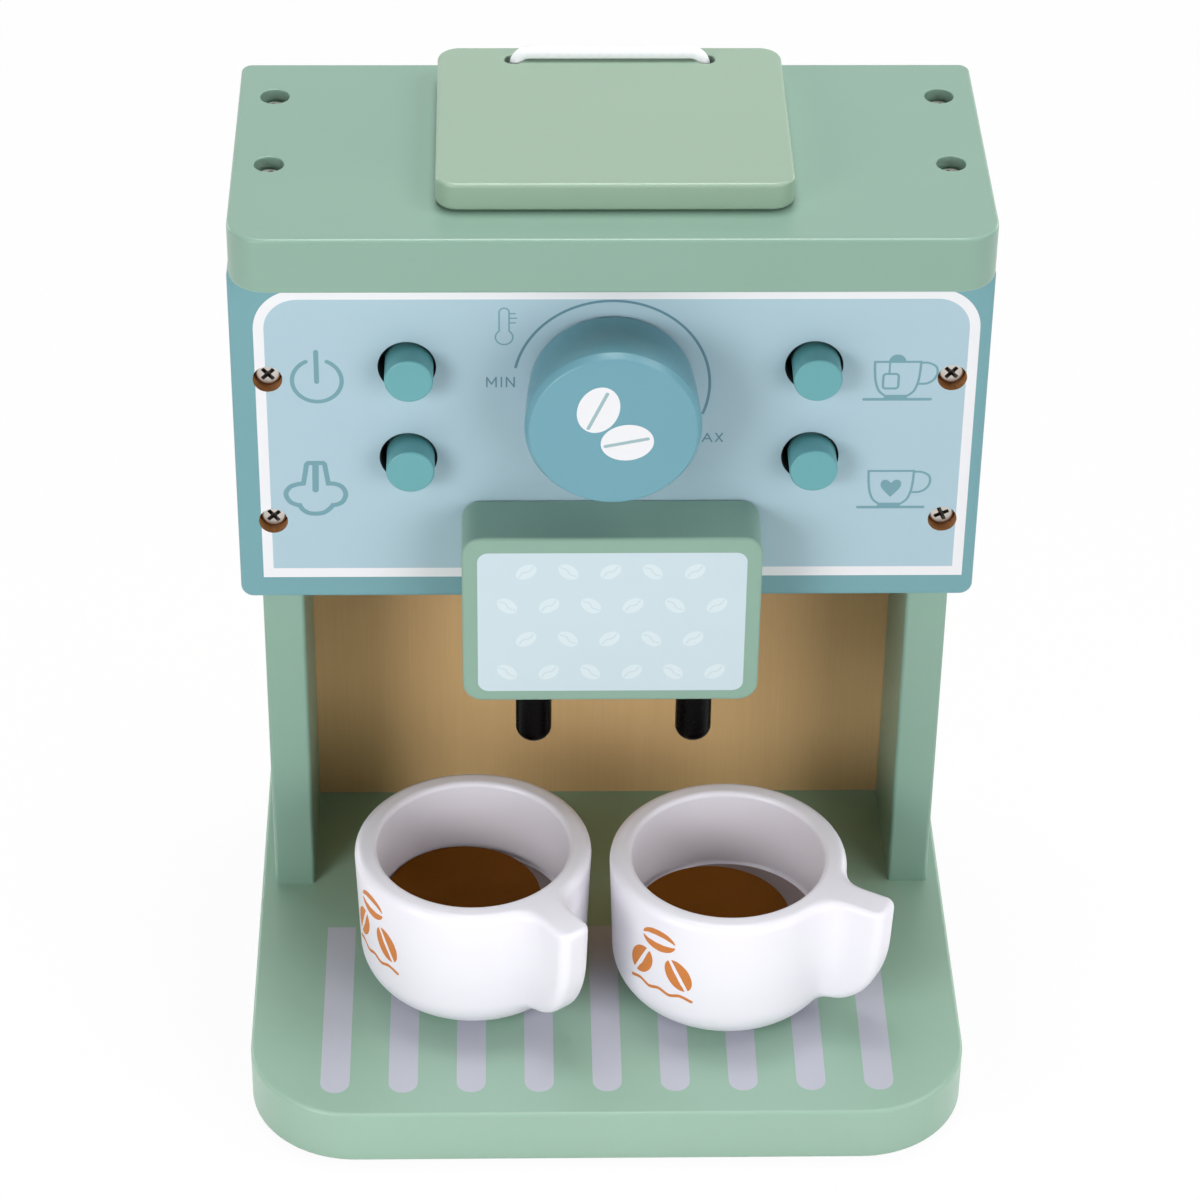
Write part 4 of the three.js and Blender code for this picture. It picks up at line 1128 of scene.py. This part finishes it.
def handleTable(end):
    high = cup["rise"] + cup["sweepHeight"]
    p = [(end - cup["sweepLength"], cup["rise"]), (end - cup["sweepLength"] / 2, cup["rise"]),
         (end - 2 * cup["lean"], cup["rise"] + cup["sweepKnee"]), (end - cup["lean"], high)]
    profile = [(0, cup["rise"])]
    for k in range(25):
        t = k / 24
        w = ((1 - t) ** 3, 3 * t * (1 - t) ** 2, 3 * t ** 2 * (1 - t), t ** 3)
        profile.append((sum(a * q[0] for a, q in zip(w, p)), sum(a * q[1] for a, q in zip(w, p))))
    above, margin, step = sideView["above"], sideView["margin"], sideView["step"]
    profile += [(end + cup["lean"] * above / (cup["height"] - high), cup["height"] + above),
                (0, cup["height"] + above)]
    xs, zs = np.arange(0, sideView["reach"], step), np.arange(-margin, cup["height"] + margin, step)
    grid = np.stack(np.meshgrid(xs, zs, indexing="ij"), -1).reshape(-1, 2)
    ring = np.array(profile)
    best = np.full(len(grid), 1e9)
    for a, b in zip(ring, np.roll(ring, -1, axis=0)):
        if a[0] == 0 and b[0] == 0:
            continue  # the closing line along the cup's middle
        t = np.clip(((grid - a) @ (b - a)) / ((b - a) @ (b - a)), 0, 1)
        best = np.minimum(best, np.linalg.norm(grid - a - t[:, None] * (b - a), axis=1))
    best[insideLoops(grid, [ring])] *= -1
    return best.reshape(len(xs), len(zs))


# How far a point lies outside the bowl and its handle, which flow into each other.
def cupField(table, x, y, z):
    reach = np.hypot(x, y)
    foot, bottom = cup["radius"] - cup["draft"], cup["bottomRadius"]
    low = np.hypot(np.maximum(reach - foot + bottom, 0), z - bottom) - bottom
    rise = np.clip((z - bottom) / (cup["height"] - cup["rim"] - bottom), 0, 1)
    bowl = np.where(z < bottom, low, reach - foot - cup["draft"] * rise)
    u = np.clip(x / sideView["step"], 0, table.shape[0] - 1.001)
    v = np.clip((z + sideView["margin"]) / sideView["step"], 0, table.shape[1] - 1.001)
    i, j = u.astype(int), v.astype(int)
    s, t = u - i, v - j
    flat = (table[i, j] * (1 - s) * (1 - t) + table[i + 1, j] * s * (1 - t) + table[i, j + 1] * (1 - s) * t
            + table[i + 1, j + 1] * s * t)
    edge = cup["handleEdge"]
    a, b = flat + edge, np.abs(y) - cup["handleHalf"] + edge
    slab = np.hypot(np.maximum(a, 0), np.maximum(b, 0)) + np.minimum(np.maximum(a, b), 0) - edge
    k = np.clip(cup["blendFoot"] + cup["blendRise"] * z, cup["blendFoot"], cup["blend"])
    h = np.maximum(k - np.abs(bowl - slab), 0) / k
    return np.minimum(bowl, slab) - h * h * k / 4


# How round the rim's outer edge is: softer on the bowl than along the handle, with x along the handle.
def rimRadius(x):
    start, end = cup["rimChange"]
    return cup["rim"] + (cup["handleRim"] - cup["rim"]) * np.clip((x - start) / (end - start), 0, 1)


# The outline of the field at a height, drawn in by a length plus a share of the rim's radius. Half of it is
# found along rays from the cup's middle, then mirrored: points lie closest on the handle, whose end is within
# 12 degrees and whose blend is within 30.
trace = {"end": 12, "blend": 30, "nearest": 14, "farthest": 52, "stride": 0.5, "halvings": 22, "bendWeight": 1.6,
         "nearPoints": 100, "farPoints": 64}


def cupOutline(field, z, inset=0.0, share=0.0):
    angles = np.radians(np.r_[np.linspace(0, trace["end"], 420),
                              np.linspace(trace["end"], trace["blend"], 120)[1:]])
    c, s = np.cos(angles), np.sin(angles)
    reaches = np.arange(trace["nearest"], trace["farthest"], trace["stride"])
    heights = np.full((len(angles), len(reaches)), float(z))
    across = np.outer(c, reaches)
    values = field(across, np.outer(s, reaches), heights) + inset + share * rimRadius(across)
    last = np.array([np.nonzero(row < 0)[0][-1] if (row < 0).any() else 0 for row in values])
    low, high = reaches[last], reaches[last] + trace["stride"]
    level = np.full(len(angles), float(z))
    for _ in range(trace["halvings"]):
        middle = (low + high) / 2
        inside = field(middle * c, middle * s, level) + inset + share * rimRadius(middle * c) < 0
        low, high = np.where(inside, middle, low), np.where(inside, high, middle)
    spots = np.stack([low * c, low * s], 1)
    steps = np.linalg.norm(np.diff(spots, axis=0), axis=1)
    ways = np.diff(spots, axis=0) / steps[:, None]
    bends = np.r_[0, np.arccos(np.clip((ways[1:] * ways[:-1]).sum(1), -1, 1))]
    weight = np.r_[0, np.cumsum(steps + trace["bendWeight"] * bends)]
    wanted = np.linspace(0, weight[-1], trace["nearPoints"] // 2 + 1)
    sector = np.stack([np.interp(wanted, weight, spots[:, k]) for k in (0, 1)], 1)
    radius = np.hypot(*sector[-1])
    rest = np.radians(np.linspace(trace["blend"], 360 - trace["blend"], trace["farPoints"] + 1))[1:-1]
    back = np.stack([radius * np.cos(rest), radius * np.sin(rest)], 1)
    mirrored = sector[::-1][:-1] * (1, -1)
    return [tuple(p) for p in np.vstack([sector, back, mirrored])]


# The badge's own motif, in millimetres round and up the wall: three beans over a wavy line. It is a film of ink
# with a grid of points inside, so that it follows the wall.
badge = {"beans": (((-6.4, -3.6), 62), ((6.4, -3.6), -62), ((0, 6.8), 0)), "longHalf": 5.6, "shortHalf": 3.8,
         "slit": 8, "wave": 1.0, "film": [(0, -0.15), (0, 0.04)], "grid": 1.3}


def badgeLoops():
    loops = []
    for centre, tilt in badge["beans"]:
        for way in (1, -1):
            half = [(badge["longHalf"] * x, badge["shortHalf"] * y)
                    for x, y in arc((0, 0), 1, badge["slit"] * way, (180 - badge["slit"]) * way, 16)]
            loops.append(tilted(half, centre, tilt))
    wave = [(3.5 * k, -11.0 - (k % 2)) for k in range(-3, 4)]
    return loops + stroke(curve(wave), badge["wave"])


# A thin film of ink wrapped on the cup's wall.
def filmShell(loops, degrees, height):
    shells = []
    for loop in loops:
        if sum(a[0] * b[1] - b[0] * a[1] for a, b in zip(loop, loop[1:] + loop[:1])) < 0:
            loop = loop[::-1]
        low, high = np.min(loop, axis=0), np.max(loop, axis=0)
        grid = np.array([(x, y) for x in np.arange(low[0], high[0], badge["grid"])
                         for y in np.arange(low[1], high[1], badge["grid"])])
        inner = [tuple(p) for p in grid[insideLoops(grid, [loop])]] if len(grid) else []
        shell = newShell()
        rings = wall(shell, fixedOutline([tuple(p) for p in loop]), badge["film"], 1)
        fillFace(shell, rings[1], slot=1, extra=inner)
        fillFace(shell, rings[0], slot=1, up=False, extra=inner)
        turned = []
        for x, y, lift in shell["points"]:
            angle = math.radians(degrees) + x / cup["radius"]
            rise = (height + y - cup["bottomRadius"]) / (cup["height"] - cup["rim"] - cup["bottomRadius"])
            reach = cup["radius"] - cup["draft"] * (1 - rise) + lift
            turned.append((reach * math.cos(angle), reach * math.sin(angle), height + y))
        shell["points"] = turned
        shells.append(shell)
    return shells


# A cup standing at 0 with its handle along x, which reaches to end.
def cupShell(end):
    table = handleTable(end)

    def field(x, y, z):
        return cupField(table, x, y, z)

    shell = newShell()
    curveHeights = [cup["bottomRadius"] * (1 - math.cos(math.radians(a))) for a in range(10, 90, 6)]
    straight = cup["height"] - cup["rim"]
    levels = np.unique(np.round(np.r_[0.02, curveHeights, np.arange(3.5, 12, 0.3), np.arange(12, 35, 1.0),
                                      np.arange(35, straight - 1, 2), straight - 1], 3))
    rings = [addRing(shell, cupOutline(field, 0.02, 0.9), 0), addRing(shell, cupOutline(field, 0.02, 0.0), 0)]
    rings += [addRing(shell, cupOutline(field, z), z) for z in levels[1:]]
    for t in quarterTurn(8):
        outline = cupOutline(field, straight, share=1 - math.cos(t))
        rings.append(addRing(shell, outline, 0))
        for index, (x, y) in zip(rings[-1], outline):
            shell["points"][index] = (x, y, cup["height"] - rimRadius(x) * (1 - math.sin(t)))
    rings.append(addRing(shell, cupOutline(field, straight, 0.15, 1.0), cup["height"]))
    for first, second in zip(rings, rings[1:]):
        bridge(shell, first, second)
    rows = [(-cup["mouth"] - 0.15, cup["height"])]
    rows += [(inset, cup["height"] - depth) for inset, depth in mouthRows(cup["mouth"], 6)]
    rows.append((cup["taper"] * 0.5, (cup["height"] + cup["floor"]) / 2))
    rows += [(cup["taper"] + cup["fillet"] * (1 - math.cos(t)),
              cup["floor"] + cup["fillet"] * (1 - math.sin(t))) for t in quarterTurn(6)]
    hollow = wall(shell, roundOutline(cup["hollow"], count=120), rows)
    # The fillet's last rows and the floor take the darker enamel, painted shade round the disc.
    shadedFaces = 2 * len(hollow[0])  # the fillet's last two rows of faces
    shell["slots"][-shadedFaces:] = [2] * shadedFaces
    fillFace(shell, rings[-1], [hollow[0]])
    fillFace(shell, rings[0], up=False)
    fillFace(shell, hollow[-1], slot=2)
    return shell


disc = {"radius": 22.3, "thickness": 4, "offset": 4.3, "edge": 0.6}
discRows = [(disc["radius"] - 0.5, 0), (disc["radius"] - 0.3, 0), (disc["radius"], 0.3)]
discRows += edgeRows(disc["radius"], disc["thickness"], disc["edge"], disc["edge"], steps=4)
for name, one in cups.items():
    stand = Matrix.Translation((*one["centre"], base["thickness"]))
    turned = moved(cupShell(one["end"]), Matrix.Rotation(math.radians(one["handle"]), 4, "Z"))
    whole = joinShells([turned] + filmShell(badgeLoops(), one["badge"], one["badgeHeight"]))
    piece = makePiece(f"cup_{name}_enamelled", whole, stand, [cupEnamel, amberInk, shadeDarkEnamel], 40)
    dress(piece, f"{name}_cup", "white_paint", f"cup_{name}")
    way = math.radians(one["disc"])
    shift = Matrix.Translation((disc["offset"] * math.cos(way), disc["offset"] * math.sin(way), cup["floor"]))
    coffee = makePiece(f"coffee_disc_{name}_brushed", turnedShell(discRows, 96), stand @ shift, [coffeePaint])
    dress(coffee, f"{name}_cup", "coffee_paint", f"coffee_disc_{name}")
print("cups made")

# The plain boards stay as they are and take the bare plywood.
for node in ("back_board", "inner_shelf", "spring_carrier_left", "spring_carrier_right", "spacer_inner_left",
             "spacer_outer_left", "spacer_inner_right", "spacer_outer_right"):
    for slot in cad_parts[node].material_slots:
        slot.material = poplarPly

# 1 for rays that come from the camera, a reflection or a clear surface, 0 for the light that falls on the toy.
def seenRays(tree):
    rays = addNode(tree, "ShaderNodeLightPath")
    seen = addNode(tree, "ShaderNodeMath", {"operation": "MAXIMUM"},
                   {0: (rays, "Is Camera Ray"), 1: (rays, "Is Glossy Ray")})
    return addNode(tree, "ShaderNodeMath", {"operation": "MAXIMUM"},
                   {0: (seen, 0), 1: (rays, "Is Transmission Ray")})


# Floor and background: white to the camera and in reflections, and a plain pale floor to the light
floorMesh = bpy.data.meshes.new("floor")
floorMesh.from_pydata([(-6, -6, 0), (6, -6, 0), (6, 6, 0), (-6, 6, 0)], [], [(0, 1, 2, 3)])
floor = bpy.data.objects.new("floor", floorMesh)
bpy.context.scene.collection.objects.link(floor)
floorPaper = bpy.data.materials.new("white paper sweep")
tree = emptyTree(floorPaper)
paper = addNode(tree, "ShaderNodeBsdfDiffuse", {"Color": linear("#f4f4f4")})
white = addNode(tree, "ShaderNodeEmission", {"Color": (1, 1, 1, 1), "Strength": 1.0})
shaded = addNode(tree, "ShaderNodeMixShader", {0: 0.93}, {1: (paper, 0), 2: (white, 0)})
mixed = addNode(tree, "ShaderNodeMixShader", None, {0: (seenRays(tree), 0), 1: (paper, 0), 2: (shaded, 0)})
addNode(tree, "ShaderNodeOutputMaterial", None, {"Surface": (mixed, 0)})
floorMesh.materials.append(floorPaper)

world = bpy.data.worlds.new("studio")
bpy.context.scene.world = world
tree = emptyTree(world)
level = addNode(tree, "ShaderNodeMapRange", {"To Min": 0.024, "To Max": 1.0}, {"Value": (seenRays(tree), 0)})
backdrop = addNode(tree, "ShaderNodeBackground", {"Color": (1, 1, 1, 1)}, {"Strength": (level, 0)})
addNode(tree, "ShaderNodeOutputWorld", None, {"Surface": (backdrop, 0)})

# Round softboxes, all aimed at the middle of the toy: low ones in front and, weaker, at both rear corners, one
# high behind, a weak one straight above and one over the right side. The two large ones in front are so low
# that a level board would mirror them as a white glare, so they stay out of reflections. Watts, and places and
# widths in metres.
lamps = {
    "left softbox": {"power": 6.2, "width": 1.1, "place": (-0.978, -1.106, 0.477), "mirrored": False},
    "near left softbox": {"power": 2.2, "width": 0.35, "place": (-0.503, -0.579, 0.414)},
    "right softbox": {"power": 11.5, "width": 1.1, "place": (0.978, -1.106, 0.477), "mirrored": False},
    "high rear softbox": {"power": 14.8, "width": 0.7, "place": (0, 0.368, 1.589)},
    "left rear softbox": {"power": 3.0, "width": 0.5, "place": (-1.114, 0.915, 0.4)},
    "right rear softbox": {"power": 3.0, "width": 0.5, "place": (1.114, 0.915, 0.4)},
    "overhead softbox": {"power": 1.8, "width": 0.7, "place": (0, -0.072, 1.64)},
    "right side softbox": {"power": 5.2, "width": 0.7, "place": (0.964, -0.02, 1.289)},
}
lampAim = Vector((0, -0.02, 0.14))
for name, lamp in lamps.items():
    light = bpy.data.lights.new(name, "AREA")
    light.shape, light.size = "DISK", lamp["width"]
    light.energy = lamp["power"]
    holder = bpy.data.objects.new(name, light)
    holder.visible_glossy = lamp.get("mirrored", True)
    way = lampAim - Vector(lamp["place"])
    holder.matrix_world = Matrix.Translation(lamp["place"]) @ way.to_track_quat("-Z", "Y").to_matrix().to_4x4()
    bpy.context.scene.collection.objects.link(holder)

# Camera at the photograph's viewing angle
view = {"lens": 122.507, "sensor": 36, "place": (-0.02916, -0.91473, 0.78705), "pitch": 0.62228, "yaw": 0.02956,
        "roll": 0.01369}
yaw, pitch, roll = view["yaw"], view["pitch"], view["roll"]
ahead = Vector((math.sin(yaw) * math.cos(pitch), math.cos(yaw) * math.cos(pitch), -math.sin(pitch)))
across = Vector((math.cos(yaw), -math.sin(yaw), 0))
above = across.cross(ahead)
turned = Matrix((math.cos(roll) * across + math.sin(roll) * above,
                 -math.sin(roll) * across + math.cos(roll) * above, -ahead)).transposed()
lens = bpy.data.cameras.new("camera")
lens.lens, lens.sensor_width, lens.sensor_fit = view["lens"], view["sensor"], "HORIZONTAL"
lens.clip_start, lens.clip_end = 0.05, 20
camera = bpy.data.objects.new("camera", lens)
camera.matrix_world = Matrix.Translation(view["place"]) @ turned.to_4x4()
bpy.context.scene.collection.objects.link(camera)
bpy.context.scene.camera = camera
bpy.context.scene.view_settings.view_transform = "Standard"

print("lights, floor and camera set")
